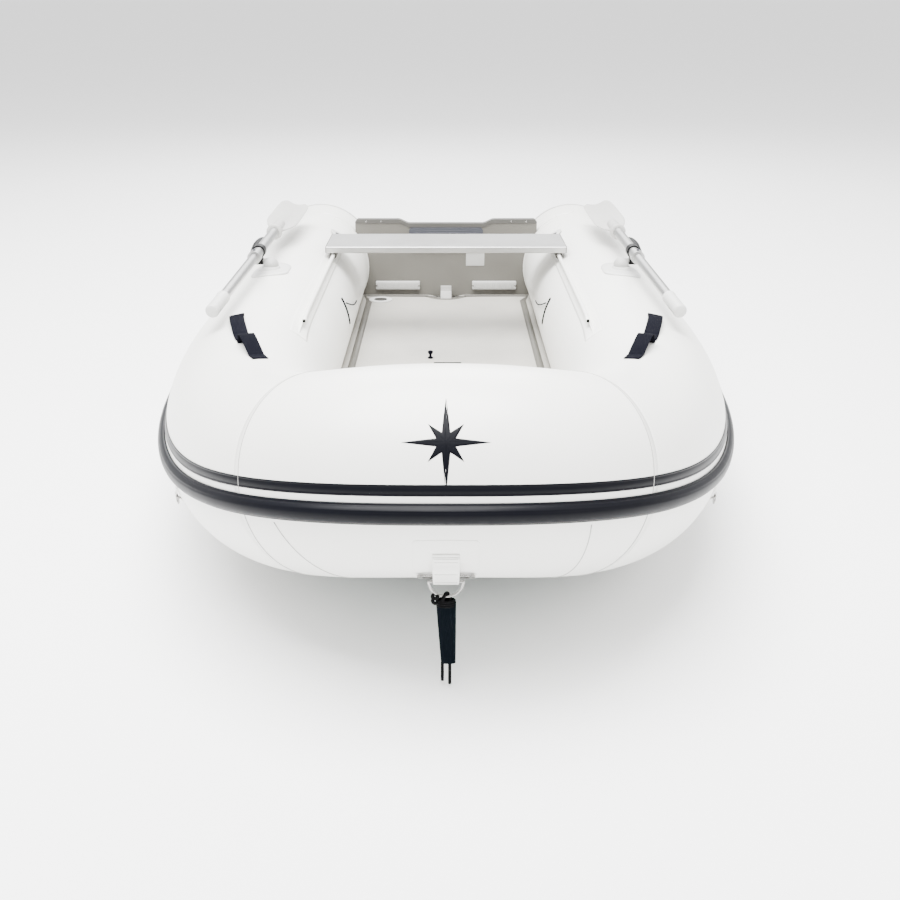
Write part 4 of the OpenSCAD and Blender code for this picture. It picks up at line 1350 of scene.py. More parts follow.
@dataclass
class Transom:
    """Transom board's fittings: retainers, pads, webbing, gussets and flaps."""

    line: HullLine
    nodes: dict[str, bpy.types.Object]
    face: float = 1.395
    thick: float = 0.027
    deck: float = 0.096
    retainer_x: float = 0.196
    retainer_z: float = 0.134
    strap_lip: float = 1.332
    rib_pitch: float = 0.0098

    def build(self) -> None:
        """Build and dress the transom."""
        for name, finish in (("transom_board", GREY_CLOTH), ("transom_cap", GREY_PLASTIC),
                             ("motor_pads", DARK_PLASTIC), ("drain_tube", GREY_PLASTIC),
                             ("drain_plug", BLACK_PLASTIC)):
            dress(self.nodes[name], finish)
        fit(dress(self.retainers(), PALE_PLASTIC), "hull", "dark_plastic", "floor_retainers")
        fit(dress(self.strap(), GREY_TRIM_AND_SEAM_SHADE), "hull", "webbing", "centre_strap")
        fit(dress(self.gussets(), HULL_CLOTH), "hull", "hull_fabric")
        fit(dress(self.flaps(), HULL_CLOTH), "hull", "hull_fabric", "transom_flaps")
        middle, size = Vector((0.118, self.face - 0.0009, 0.238)), Vector((0.074, 0.0010, 0.052))
        plate = block("blank_plate", middle, size, self.line.trim, 0.0004)
        fit(dress(plate, PALE_PLASTIC), "hull", "pale_plastic")
        fit(self.pad_ribs(), "hull", "dark_plastic")
        fit(self.screws(), "hull", "steel")

    def retainers(self) -> bpy.types.Object:
        """Two ribbed blocks that hold the floor's aft edge down.

        Returns:
            The piece.
        """
        pieces = []
        for side in (1, -1):
            middle = Vector((side * self.retainer_x, self.face - 0.010, self.retainer_z))
            size = Vector((0.180, 0.019, 0.034))
            pieces.append(block(f"retainer_{side}", middle, size, self.line.trim, 0.0045))
            for k in range(-8, 9):
                at = middle + Vector((k * self.rib_pitch, -0.0098, 0))
                size = Vector((0.0032, 0.003, 0.022))
                pieces.append(block(f"rib_{side}_{k}", at, size, self.line.trim, 0.001))
        return joined("floor_retainer_blocks", pieces)

    def strap(self) -> bpy.types.Object:
        """Webbing from the floor's scoop up the transom.

        Returns:
            The piece.
        """
        face, deck, lip = self.face, self.deck, self.strap_lip
        run = [(face - 0.0008, deck + 0.034), (face - 0.0008, deck + 0.016), (face - 0.006, deck + 0.010),
               (lip + 0.010, deck + 0.0015), (lip, deck + 0.0006), (lip - 0.026, deck + 0.0006)]
        points = smoothed([self.line.trim.place(Vector((0, y, z))) for y, z in run], 6)
        across = Vector((1, 0, 0))
        ups = [across.cross(heading(points, i)).normalized() * -1 for i in range(len(points))]
        return ribbon("centre_webbing", points, ups, 0.044, 0.0022)

    def gussets(self) -> bpy.types.Object:
        """Bands that bond the board to each tube, fore and aft of it.

        Returns:
            The piece.
        """
        pieces = []
        for y in (self.face - 0.014, self.face + self.thick + 0.014):
            angles = [112 + 4 * k for k in range(25)]
            points = [self.line.on(-y, a, 0.0004) for a in angles]
            ups = [self.line.out(-y, a) for a in angles]
            pieces += pair(ribbon("gusset", points, ups, 0.026, 0.0016))
        return joined("transom_gussets", pieces)

    def flaps(self) -> bpy.types.Object:
        """Fabric that laps onto each tube behind the board.

        Returns:
            The piece.
        """
        outline = rounded_outline(0.104, 0.190, 0.03)
        port = self.line.patch("flap", -(self.face + self.thick + 0.057), 118, outline, 0.0014)
        return joined("stern_flaps", pair(port))

    def pad_ribs(self) -> bpy.types.Object:
        """Ribs across the inner motor pad.

        Returns:
            The piece.
        """
        tree = repeat_tree("pad_ribs")
        out = self.line.trim.turn(Vector((0, -1, 0)))
        points = [self.line.trim.place(Vector((0, self.face - 0.0085, 0.364 - 0.009 * k))) for k in range(9)]
        aheads = [Vector((1, 0, 0))] * len(points)
        carrier = path_object("motor_pad_ribs", points, [out] * len(points), aheads)
        return tree.run(carrier, Length=0.272, Width=0.0036, Height=0.0022, Material=DARK_PLASTIC.build())

    def screws(self) -> bpy.types.Object:
        """Screw heads along the cap and on the retainers.

        Returns:
            The piece.
        """
        tree = repeat_tree("screw_heads")
        out = self.line.trim.turn(Vector((0, -1, 0)))
        points = [self.line.trim.place(Vector((x, self.face - 0.0030, 0.389)))
                  for x in (-0.32, -0.26, 0.26, 0.32)]
        points += [self.line.trim.place(Vector((x, self.face - 0.0195, self.retainer_z)))
                   for x in (-0.282, -0.110, 0.110, 0.282)]
        carrier = path_object("transom_screws", points, [out] * len(points))
        return tree.run(carrier, Length=0.008, Width=0.008, Height=0.0026, Material=STEEL.build())


@dataclass
class SeatAndRails:
    """Sliding seat and the bonded rails that it runs on."""

    line: HullLine
    nodes: dict[str, bpy.types.Object]
    deg: float = 127.0
    out: float = 0.018
    bead: float = 0.006
    rope: float = 0.0042
    rear: float = 1.0
    bead_end: float = 7.4
    fin_end: float = 11.3

    def build(self) -> None:
        """Build and dress the seat and its rails."""
        for name, finish in (("seat_plank", ALUMINIUM), ("seat_end_caps", GREY_PLASTIC),
                             ("seat_channels", GREY_PLASTIC)):
            dress(self.nodes[name], finish)
        rail = joined("rail", [self.fin(), self.foot(), self.bead_wrap()])
        fit(dress(joined("seat_rail_strips", pair(rail)), HULL_CLOTH), "hull", "hull_fabric", "seat_rails")
        fit(dress(self.rope_ends(), ROPE), "hull", "rope", "bolt_ropes")

    def stations(self, end: float) -> list[float]:
        """Stations along the rail."""
        return [-self.rear * (1 - k / 30) for k in range(30)] + [end * k / 8 for k in range(9)]

    def spot(self, s: float, rise: float, across: float) -> Vector:
        """Trimmed point at a height over the tube and a distance across the rail.

        Args:
            s: Station on the tube.
            rise: Height over the tube.
            across: Distance across the rail.

        Returns:
            The point or direction.
        """
        a = math.radians(self.deg)
        tangent = self.line.upward(s) * math.cos(a) - self.line.outward(s) * math.sin(a)
        return self.line.trim.place(self.line.level(s, self.deg, rise) + tangent * across)

    def fin(self) -> bpy.types.Object:
        """Upright web of the rail.

        Returns:
            The piece.
        """
        top = self.out - self.bead
        section = [(0.0006, -0.004), (0.0018, -0.0022), (0.004, -0.0012), (top, -0.0011), (top, 0.0011),
                   (0.004, 0.0012), (0.0018, 0.0022), (0.0006, 0.004)]
        rings = []
        for s in self.stations(self.fin_end):
            past = max(0.0, s - self.bead_end) / (self.fin_end - self.bead_end)
            fade = max(0.12, 1 - past)
            rings.append([self.spot(s, 0.0006 + (rise - 0.0006) * fade, w) for rise, w in section])
        return loft("rail_fin", rings)

    def foot(self) -> bpy.types.Object:
        """Bonded strip under the web.

        Returns:
            The piece.
        """
        half = 7.6
        rings = []
        for s in self.stations(self.fin_end + 1.2):
            low = [self.line.on(s, self.deg + half * k / 4, 0.0003) for k in range(-4, 5)]
            high = [self.line.on(s, self.deg + half * k / 4, 0.0014) for k in range(4, -5, -1)]
            rings.append(low + high)
        return loft("rail_foot", rings)

    def bead_wrap(self) -> bpy.types.Object:
        """Fabric round the bolt rope."""
        path = [self.spot(s, self.out, 0) for s in self.stations(self.bead_end)]
        return loft("rail_bead", tube_rings(path, lambda _run, _a: self.bead, 20))

    def rope_ends(self) -> bpy.types.Object:
        """Ends of the bolt rope that show at each end of the bead.

        Returns:
            The piece.
        """
        pieces = []
        for end, step in ((self.bead_end, 0.25), (-self.rear, -0.004)):
            path = [self.spot(end - step * 6, self.out, 0), self.spot(end, self.out, 0),
                    self.spot(end + step, self.out, 0)]
            pieces += pair(loft("rope_end", tube_rings(path, lambda _run, _a: self.rope, 16)))
        return joined("bolt_rope_ends", pieces)


# ---- handles and lines ----

AFT_HANDLE = [(8.8, 0.4), (10.2, 0.4), (10.8, 7), (11.4, 11), (12.2, 12), (13.6, 12), (15.6, 11), (17.6, 8),
              (19, 4), (20, 0.4), (22.6, 0.4)]
FORE_HANDLE = [(23, 0.4), (24.2, 0.4), (24.8, 14), (25.4, 24), (26.2, 27), (27.4, 25), (29, 19), (30.8, 11),
               (32.2, 4), (33, 0.4), (35.4, 0.4)]
LIFELINE = [(1.150, 9, 47), (1.110, 9, 47), (1.070, 14, 47), (1.020, 22, 47), (0.950, 25, 47), (0.880, 21, 47),
            (0.820, 14, 46), (0.760, 9, 44), (0.700, 9, 42), (0.640, 9, 40), (0.560, 9, 40), (0.500, 9, 40),
            (0.440, 8, 41), (0.380, 7, 43), (0.310, 7, 45), (0.250, 9, 46), (0.190, 9, 47), (0.150, 9, 47)]


def stitch_rows(
    name: str, rows: Sequence[tuple[Sequence[Vector], Sequence[Vector]]], finish: Finish
) -> bpy.types.Object:
    """Sewn stitches along several rows, each row a list of points and normals.

    Args:
        name: Name of the new object.
        rows: Points and outward directions of each row.
        finish: The thread.

    Returns:
        The stitches as one plain mesh.
    """
    tree = repeat_tree(f"{name}_tree")
    made = []
    for points, normals in rows:
        carrier = path_object("row", points, normals)
        made.append(tree.run(carrier, Length=0.0034, Width=0.0010, Height=0.0009, Material=finish.build()))
    return joined(name, made)


@dataclass
class Handles:
    """Carrying handles on the shoulders and the straps inside the cockpit."""

    line: HullLine
    wide: float = 0.038
    thick: float = 0.0026

    def build(self) -> None:
        """Build and dress the handles."""
        pieces = []
        rows: list[tuple[list[Vector], list[Vector]]] = []
        for route, first_deg, last_deg in ((AFT_HANDLE, 80.0, 88.0), (FORE_HANDLE, 88.5, 95.0)):
            spots = smoothed([Vector((s, lift, 0)) for s, lift in route], 5)
            slope = (last_deg - first_deg) / (route[-1][0] - route[0][0])
            degs = [first_deg + (q.x - route[0][0]) * slope for q in spots]
            points = [self.line.on(q.x, d, max(q.y, 0.3) * MM) for q, d in zip(spots, degs)]
            ups = [self.line.out(q.x, d) for q, d in zip(spots, degs)]
            pieces += pair(ribbon("handle", points, ups, self.wide, self.thick))
            rows += self.box_stitch(spots[0].x + 0.15, route[1][0] - 0.1, first_deg)
            rows += self.box_stitch(route[-2][0] + 0.1, spots[-1].x - 0.15, last_deg)
        fit(dress(joined("carry_handles", pieces), WEBBING), "hull", "webbing", "shoulder_handles")
        rows += [self.flip(row) for row in rows]
        fit(stitch_rows("handle_stitches", rows, THREAD), "hull", "webbing")
        self.inner()

    def flip(self, row: tuple[list[Vector], list[Vector]]) -> tuple[list[Vector], list[Vector]]:
        """The same row on the other side."""
        return ([Vector((-p.x, p.y, p.z)) for p in row[0]], [Vector((-n.x, n.y, n.z)) for n in row[1]])

    def box_stitch(self, first: float, last: float, deg: float) -> list[tuple[list[Vector], list[Vector]]]:
        """Rows of stitches across the two ends of a sewn patch.

        Args:
            first: Station of the first row.
            last: Station of the second row.
            deg: Place of both round the tube.

        Returns:
            Points and outward directions of each row.
        """
        half = self.wide / 2 - 0.004
        rows = []
        for s in (first, last):
            offs = [half * (k / 4 - 1) for k in range(9)]
            rows.append(([self.line.spot(s, deg, 0, a, self.thick + 0.0005) for a in offs],
                         [self.line.out(s, deg)] * len(offs)))
        return rows

    def inner(self) -> None:
        """Straps, cords and the toggle inside the cockpit."""
        angles = [152 + 2 * k for k in range(13)]
        pieces = pair(ribbon("inner", [self.line.on(-0.430, a, 0.0004) for a in angles],
                             [self.line.out(-0.430, a) for a in angles], 0.016, 0.0026))
        path = [self.line.on(-(0.44 + 0.024 * k), 158 + 14 * math.sin(math.pi * k / 20), 0.006)
                for k in range(11)]
        pieces += pair(loft("cord", tube_rings(path, lambda _run, _a: 0.002, 10)))
        place = self.line.trim.place
        up = self.line.trim.turn(Vector((0, 0, 1)))
        bar = ribbon("bar", [place(Vector((-0.040 + 0.009 * k, 0.406, 0.0964))) for k in range(11)],
                     [up] * 11, 0.016, 0.003)
        profile = [(0.009, 0.0), (0.009, 0.003), (0.0045, 0.006), (0.004, 0.012), (0.007, 0.016),
                   (0.0088, 0.020), (0.0085, 0.024), (0.005, 0.026), (0.0005, 0.0262)]
        knob = lathe("knob", place(Vector((-0.052, 0.470, 0.0964))), up, profile, 24)
        fit(dress(joined("cockpit_straps", pieces + [bar, knob]), WEBBING), "hull", "webbing", "inner_straps")


@dataclass
class Lifelines:
    """Rope lifelines with their grips, holders and stoppers."""

    line: HullLine
    thick: float = 0.008
    grip_ends: tuple[float, float] = (0.8195, 1.0705)

    def __post_init__(self) -> None:
        """Work out the rope's run, as (metres aft, millimetres up, degrees round)."""
        self.run = smoothed([Vector(q) for q in LIFELINE], 22)

    def route(self) -> list[Vector]:
        """Trimmed points along the port rope."""
        return [self.line.on(-q.x, q.z, q.y * MM) for q in self.run]

    def build(self) -> None:
        """Build and dress the lifelines."""
        path = self.route()
        rope = loft("port_rope", tube_rings(path, self.twist, 12))
        fit(dress(rope, ROPE), "hull", "rope", "port_lifeline")
        fit(dress(mirrored(rope, "starboard_rope"), ROPE), "hull", "rope", "starboard_lifeline")
        grips = joined("grip", [self.grip(path), self.stopper()])
        grips = joined("line_grip_sleeves", pair(grips))
        fit(dress(grips, BLACK_PLASTIC), "hull", "black_plastic", "line_grips")
        discs = []
        for y, deg, disc, long in ((1.130, 47, 0.038, 0.034), (0.600, 40, 0.055, 0.070),
                                   (0.220, 46.5, 0.038, 0.030)):
            discs.append(self.line.patch("disc", -y, deg, disc_outline(disc), 0.003))
            discs.append(self.bridge(y, deg, long))
        port = joined("holder", discs)
        holders = joined("line_holder_patches", pair(port))
        fit(dress(holders, WHITE_PLASTIC), "hull", "pale_plastic", "line_holders")

    def twist(self, run: float, angle: float) -> float:
        """Radius of a three-strand rope at a distance along it."""
        return self.thick / 2 * (1 + 0.10 * abs(math.cos(1.5 * (angle - run * TAU / 0.036))))

    def grip(self, path: Sequence[Vector]) -> bpy.types.Object:
        """Ribbed sleeve on the rope.

        Args:
            path: Points along the rope.

        Returns:
            The piece.
        """
        first, last = self.grip_ends
        ends = [i for i, q in enumerate(self.run) if first < q.x < last]
        part = list(path[ends[0] : ends[-1] + 1])
        whole = sum((b - a).length for a, b in zip(part, part[1:]))

        def radius(run: float, _angle: float) -> float:
            """Radius of the sleeve at a distance along it.

            Args:
                run: Distance along the cord.

            Returns:
                The size in metres.
            """
            edge = min(run, whole - run)
            body = 0.0105 + 0.0045 * min(1.0, edge / 0.02) ** 0.5
            return body * (1 + 0.035 * math.cos(TAU * run / 0.0125)) if edge > 0.006 else body

        return loft("sleeve", tube_rings(part, radius, 24))

    def stopper(self) -> bpy.types.Object:
        """Round stopper at the rope's forward end.

        Returns:
            The piece.
        """
        base = self.line.on(-0.150, 47, 0.009) + self.line.trim.turn(Vector((0, -0.014, 0.003)))
        up = self.line.trim.turn(Vector((0, -1, 0)))
        profile = [(0.0008 + 0.012 * math.sin(math.pi * k / 12), -0.012 * math.cos(math.pi * k / 12))
                   for k in range(13)]
        return lathe("stopper", base, up, profile, 24)

    def bridge(self, y: float, deg: float, long: float) -> bpy.types.Object:
        """Moulded arch that holds the rope down.

        Args:
            y: Place along the level hull.
            deg: Place round the tube, in degrees.
            long: Length of the arch along the tube.

        Returns:
            The piece.
        """
        run = [(-0.016, 2.4), (-0.013, 3.2), (-0.010, 8), (-0.007, 12.6), (-0.003, 14.6), (0.003, 14.6),
               (0.007, 12.6), (0.010, 8), (0.013, 3.2), (0.016, 2.4)]
        spots = smoothed([Vector((a, h * MM, 0)) for a, h in run], 3)
        points = [self.line.spot(-y, deg, 0, q.x, q.y) for q in spots]
        ups = arch_normals(points, self.line.trim.turn(Vector((0, 1, 0))), self.line.out(-y, deg))
        return ribbon("bridge", points, ups, long, 0.0024)


# ---- oars ----


@dataclass
class Oars:
    """Oars, their swivel locks and the pads that carry them; port first."""

    line: HullLine
    nodes: dict[str, bpy.types.Object]
    joints: list[dict]
    roll: float = -12.0
    root: float = 0.290
    long: float = 0.490
    wide: float = 0.105
    shaft_rise: float = 0.030
    inboard: float = 0.682
    grip_len: float = 0.140
    drawn_wide: float = 0.160

    def __post_init__(self) -> None:
        """Read the oar's own axes from its joints."""
        def find(name: str) -> dict:
            """Joint of a name."""
            return next(j for j in self.joints if j["name"] == name)

        self.ahead = Vector(find("port_oar_shorten")["axis"]).normalized()
        self.down = Vector(find("port_lock_press")["axis"]).normalized()
        self.side = self.down.cross(self.ahead)
        arm = Vector(find("port_oar_dip")["pos_m"])
        self.middle = arm + self.line.trim.turn(Vector((0, 0, self.shaft_rise)))
        self.lock = Vector(find("port_oar_yaw")["pos_m"])

    def spot(self, side: float, down: float, ahead: float) -> Vector:
        """Point in the oar's own frame."""
        return self.middle + self.side * side + self.down * down + self.ahead * ahead

    def build(self) -> None:
        """Build and dress the oars and locks."""
        for hand in ("port", "starboard"):
            for part, finish in (("lock_swivel", PALE_PLASTIC), ("oar_clamp", BLACK_PLASTIC),
                                 ("outer_shaft", ALUMINIUM), ("inner_shaft", ALUMINIUM),
                                 ("lock_button", DARK_PLASTIC)):
                dress(self.nodes[f"{hand}_{part}"], finish)
        dress(self.nodes["oarlock_pins"], STEEL)
        blade = joined("port_paddle", [self.blade(), self.socket()])
        fit(dress(blade, BLADE_PLASTIC), "port_oar", "pale_plastic", "port_blade")
        fit(dress(mirrored(blade, "starboard_paddle"), BLADE_PLASTIC), "starboard_oar", "pale_plastic",
            "starboard_blade")
        grip = self.grip()
        fit(dress(grip, WHITE_PLASTIC), "port_inner", "pale_plastic", "port_grip")
        fit(dress(mirrored(grip, "starboard_handgrip"), WHITE_PLASTIC), "starboard_inner", "pale_plastic",
            "starboard_grip")
        pads = joined("lock_pads", pair(self.pad()))
        fit(dress(pads, WHITE_PLASTIC), "hull", "pale_plastic", "oarlock_pads")

    def half_width(self, t: float) -> float:
        """Half width of the blade at a share of its length.

        Args:
            t: Share of the blade's length.

        Returns:
            The size in metres.
        """
        stops = [(0, 0.021), (0.06, 0.034), (0.16, 0.058), (0.27, 0.075), (0.36, 0.080), (0.80, 0.080),
                 (0.92, 0.077), (0.975, 0.068), (1.0, 0.052)]
        for (a, wa), (b, wb) in zip(stops, stops[1:]):
            if t <= b:
                return (wa + (wb - wa) * (t - a) / (b - a)) * self.wide / self.drawn_wide
        return stops[-1][1] * self.wide / self.drawn_wide

    def blade(self) -> bpy.types.Object:
        """Spooned blade with a spine and a thick rim.

        Returns:
            The piece.
        """
        turn = math.radians(self.roll)
        across = self.side * math.cos(turn) + self.down * math.sin(turn)
        out = self.down * math.cos(turn) * -1 + self.side * math.sin(turn)
        rings: list[Ring] = []
        cells = 20
        for k in range(41):
            t = 1 - (1 - k / 40) ** 1.15
            half = self.half_width(t)
            spoon = 0.010 * t * t
            spine = 0.011 * max(0.0, 1 - t * 1.35)
            top: Ring = []
            low: Ring = []
            for i in range(cells + 1):
                w = -math.cos(math.pi * i / cells)
                edge = math.sqrt(max(0.0, 1 - abs(w) ** 8))
                thick = (0.0030 + 0.0012 * (1 - t)) * max(edge, 0.25)
                ridge = spine * math.exp(-((w * half / 0.014) ** 2))
                cup = spoon * (1 - w * w) - 0.5 * spoon
                point = self.middle + self.ahead * (self.root + self.long * t) + across * (w * half)
                top.append(point + out * (thick + ridge - cup))
                low.append(point - out * (thick + ridge + cup))
            rings.append(top + low[::-1])
        return loft("blade", rings)

    def socket(self) -> bpy.types.Object:
        """Socket and collar on the shaft.

        Returns:
            The piece.
        """
        base = self.spot(0, 0, self.root)
        profile = [(0.0162, -0.0145), (0.0225, -0.0145), (0.026, -0.012), (0.026, -0.003), (0.0225, 0.0),
                   (0.0203, 0.004), (0.0200, 0.060), (0.0190, 0.105), (0.0165, 0.118), (0.012, 0.123),
                   (0.0005, 0.124)]
        return lathe("socket", base, self.ahead, profile)

    def grip(self) -> bpy.types.Object:
        """Ribbed hand grip.

        Returns:
            The piece.
        """
        base = self.spot(0, 0, -self.inboard)
        thick, first_rib, pitch = 0.0168, 0.018, 0.0092
        profile = [(0.0005, 0.0), (0.013, 0.0004), (0.0165, 0.003), (0.018, 0.007), (0.018, 0.012),
                   (thick, 0.016)]
        for k in range(96):
            h = first_rib + 0.110 * k / 95
            profile.append((thick + 0.0006 * math.cos(TAU * (h - first_rib) / pitch), h))
        profile += [(thick, 0.131), (0.0182, 0.134), (0.0182, 0.138), (0.0172, self.grip_len),
                    (0.0145, self.grip_len)]
        return lathe("port_handgrip", base, self.ahead, profile)

    def pad(self) -> bpy.types.Object:
        """Bonded pad with the moulded boss under the swivel.

        Returns:
            The piece.
        """
        up = self.line.trim.turn(Vector((0, 0, 1)))
        flange = self.line.patch("flange", -0.344, 84, rounded_outline(0.180, 0.116, 0.0575, 10), 0.0048)
        profile = [(0.038, -0.010), (0.036, -0.0045), (0.031, 0.0), (0.0285, 0.006), (0.0272, 0.0105),
                   (0.0262, 0.012), (0.0088, 0.012), (0.0083, 0.0115)]
        boss = lathe("boss", self.lock - up * 0.012, up, profile)
        return joined("lock_pad", [flange, boss])


# ---- valves, rings and the bow ----


@dataclass
class Valves:
    """Valve bodies and their screwed caps."""

    nodes: dict[str, bpy.types.Object]
    joints: list[dict]
    ribs: int = 18
    rib_out: float = 0.0215
    rib_up: float = 0.0034

    def build(self) -> None:
        """Dress the bodies and add grip ribs round each cap."""
        dress(self.nodes["valve_bodies"], WHITE_PLASTIC)
        tree = repeat_tree("cap_ribs")
        for body in ("floor", "port", "starboard", "bow"):
            node = self.nodes[f"{body}_valve_cap"]
            dress(node, GREY_PLASTIC)
            joint = next(j for j in self.joints if j["name"] == f"{body}_cap_turn")
            up = Vector(joint["axis"]).normalized()
            base = Vector(joint["pos_m"]) + up * self.rib_up
            around = spokes(up, self.ribs)
            carrier = path_object(f"{body}_cap_ribs", [base + r * self.rib_out for r in around],
                                  [up] * self.ribs, around)
            ribs = tree.run(carrier, Length=0.007, Width=0.0022, Height=0.0024, Material=DARK_PLASTIC.build())
            fit(ribs, f"{body}_cap", "dark_plastic")


@dataclass
class BowFittings:
    """Bow patch, folded strap, handle sleeve and cord."""

    line: HullLine
    nodes: dict[str, bpy.types.Object]
    joints: list[dict]
    strap_wide: float = 0.051
    bar_out: float = 0.009
    bar_deg: float = -62.0
    cord_thick: float = 0.007
    cord_gap: float = 0.015
    sleeve_drop: float = 0.012
    sleeve_len: float = 0.142
    tails: tuple[float, float] = (0.044, 0.052)
    side_rings: tuple[float, float] = (38, 142)
    side_ring_deg: float = -21.0

    def __post_init__(self) -> None:
        """Read where the handle hangs."""
        self.wire = Vector(next(j for j in self.joints if j["name"] == "handle_swing")["pos_m"])

    def build(self) -> None:
        """Build and dress the bow fittings."""
        for name in ("tow_ring", "bow_ring", "port_side_ring", "starboard_side_ring"):
            dress(self.nodes[name], STEEL)
        outline = [(0.058, 0.124), (0.0, 0.125), (-0.058, 0.124), (-0.064, 0.118), (-0.080, 0.0),
                   (-0.100, -0.118), (-0.096, -0.126), (0.0, -0.128), (0.096, -0.126), (0.100, -0.118),
                   (0.080, 0.0), (0.064, 0.118)]
        pieces = [self.line.patch("bow_patch", BOW_AT, -49, split_outline(outline, 6), 0.0013)]
        for s in self.side_rings:
            patch = rounded_outline(0.085, 0.072, 0.02)
            pieces.append(self.line.patch("side_patch", s, self.side_ring_deg, patch, 0.0014))
            pieces.append(self.ring_loop(s))
        fit(dress(joined("ring_patch_set", pieces), HULL_CLOTH), "hull", "hull_fabric", "ring_patches")
        fit(dress(self.strap(), HULL_CLOTH), "hull", "hull_fabric", "bow_strap")
        fit(stitch_rows("strap_stitches", self.strap_rows(), GREY_TRIM_AND_SEAM_SHADE), "hull", "hull_fabric")
        fit(dress(self.sleeve(), SLEEVE_CLOTH), "handle", "sleeve", "bow_handle")
        self.cord()

    def ring_loop(self, s: float) -> bpy.types.Object:
        """Webbing loop that holds a side ring's bar.

        Args:
            s: Station on the tube.

        Returns:
            The piece.
        """
        run = [(0.016, 1.5), (0.010, 1.8), (0.006, 5.0), (0.0036, 8.6), (0.0, 10.2), (-0.0036, 8.6),
               (-0.006, 5.0), (-0.010, 1.8), (-0.016, 1.5)]
        spots = smoothed([Vector((a, h * MM, 0)) for a, h in run], 4)
        points = [self.line.spot(s, self.side_ring_deg, 0, q.x, q.y) for q in spots]
        across = self.line.trim.turn(self.line.along(s))
        ups = arch_normals(points, across, self.line.out(s, self.side_ring_deg))
        return ribbon("ring_loop", points, ups, 0.018, 0.0014)

    def strap(self) -> bpy.types.Object:
        """Strap from the patch round the ring's bar and back over the keeper.

        Returns:
            The piece.
        """
        line = self.line
        points: list[Vector] = []
        ups: list[Vector] = []
        for k in range(14):
            deg = -25 - 34.5 * k / 13
            points.append(line.on(BOW_AT, deg, 0.0016))
            ups.append(line.out(BOW_AT, deg))
        eye = line.level(BOW_AT, self.bar_deg, self.bar_out)
        start = line.normal(BOW_AT, self.bar_deg) * -1
        side = line.along(BOW_AT)
        for k in range(1, 12):
            turned = Matrix.Rotation(math.radians(180 * k / 12), 3, side) @ start
            points.append(line.trim.place(eye + turned * 0.0064))
            ups.append(line.trim.turn(turned) * -1)
        for k in range(12):
            deg = -60.5 + 23.5 * k / 11
            points.append(line.on(BOW_AT, deg, 0.0122))
            ups.append(line.out(BOW_AT, deg) * -1)
        for deg, lift in ((-35.5, 0.0108), (-34.2, 0.0075), (-33.0, 0.0050), (-30.5, 0.0046),
                          (-27.0, 0.0046)):
            points.append(line.on(BOW_AT, deg, lift))
            ups.append(line.out(BOW_AT, deg) * -1)
        return ribbon("folded_strap", points, ups, self.strap_wide, 0.0015)

    def strap_rows(self) -> list[tuple[list[Vector], list[Vector]]]:
        """Stitches across the strap.

        Returns:
            Points and outward directions of each row.
        """
        rows = []
        half = self.strap_wide / 2 - 0.005
        for deg, lift in ((-28.0, 0.0050), (-31.0, 0.0050), (-40.0, 0.0126), (-56.0, 0.0126)):
            offs = [half * (k / 6 - 1) for k in range(13)]
            rows.append(([self.line.on(BOW_AT, deg, lift) + Vector((a, 0, 0)) for a in offs],
                         [self.line.out(BOW_AT, deg)] * 13))
        return rows

    def sleeve(self) -> bpy.types.Object:
        """Padded handle sleeve with sewn edges.

        Returns:
            The piece.
        """
        rings = []
        count = 44
        for k in range(-2, count + 3):
            t = min(max(k / count, 0.0), 1.0)
            shut = 1.0 if 0 <= k <= count else (0.93 if k in (-1, count + 1) else 0.8)
            wide = (0.020 - 0.005 * t) * shut
            deep = (0.0068 + 0.0006 * math.sin(9 * t)) * shut
            z = -self.sleeve_drop - self.sleeve_len * t
            ring = []
            for i in range(40):
                a = TAU * i / 40
                c, n = math.cos(a), math.sin(a)
                ripple = 1 + 0.03 * math.sin(38 * t + 2.0 * c) * abs(n)
                x = wide * math.copysign(abs(c) ** 0.75, c)
                y = deep * math.copysign(abs(n) ** 0.8, n) * ripple
                ring.append(self.wire + Vector((x + 0.0045 * t, y, z)))
            rings.append(ring)
        return loft("handle_sleeve", rings)

    def cord(self) -> None:
        """Knotted loop over the ring and the two free tails."""
        x = self.cord_gap / 2
        low = -self.sleeve_drop - self.sleeve_len
        loop = [(-x, -0.022, 0), (-x, -0.0125, 0), (-x, -0.008, -0.0035), (-0.006, -0.003, -0.0066),
                (-0.004, 0.0025, -0.0064), (-0.002, 0.006, -0.004), (0, 0.0072, 0), (0.002, 0.006, 0.004),
                (0.004, 0.0025, 0.0064), (0.006, -0.003, 0.0066), (x, -0.008, 0.0035), (x, -0.0125, 0),
                (x, -0.022, 0)]
        path = smoothed([self.wire + Vector((a, y, z)) for a, z, y in loop], 6)
        over = loft("loop", tube_rings(path, self.braid, 14))
        wrap = []
        for turn in range(3):
            z = -0.0085 - 0.0052 * turn
            ring = [self.wire + Vector((0.0165 * math.cos(TAU * k / 28), 0.0078 * math.sin(TAU * k / 28), z))
                    for k in range(29)]
            wrap.append(loft("wrap", tube_rings(ring, lambda _run, _a: 0.0029, 10)))
        wrap.append(self.knot())
        fit(dress(joined("cord_loop", [over, *wrap]), ROPE), "handle", "rope", "bow_cord")
        for name, side, tail in (("port_tail", 1, self.tails[1]), ("starboard_tail", -1, self.tails[0])):
            points = [self.wire + Vector((side * x, 0, low - tail * k / 20)) for k in range(21)]
            rings = tube_rings(points, self.braid, 14)
            piece = fit(dress(loft(name, rings), ROPE), "handle", "rope", "bow_cord")
            tuple(points[0])
            [tuple(p) for p in points]

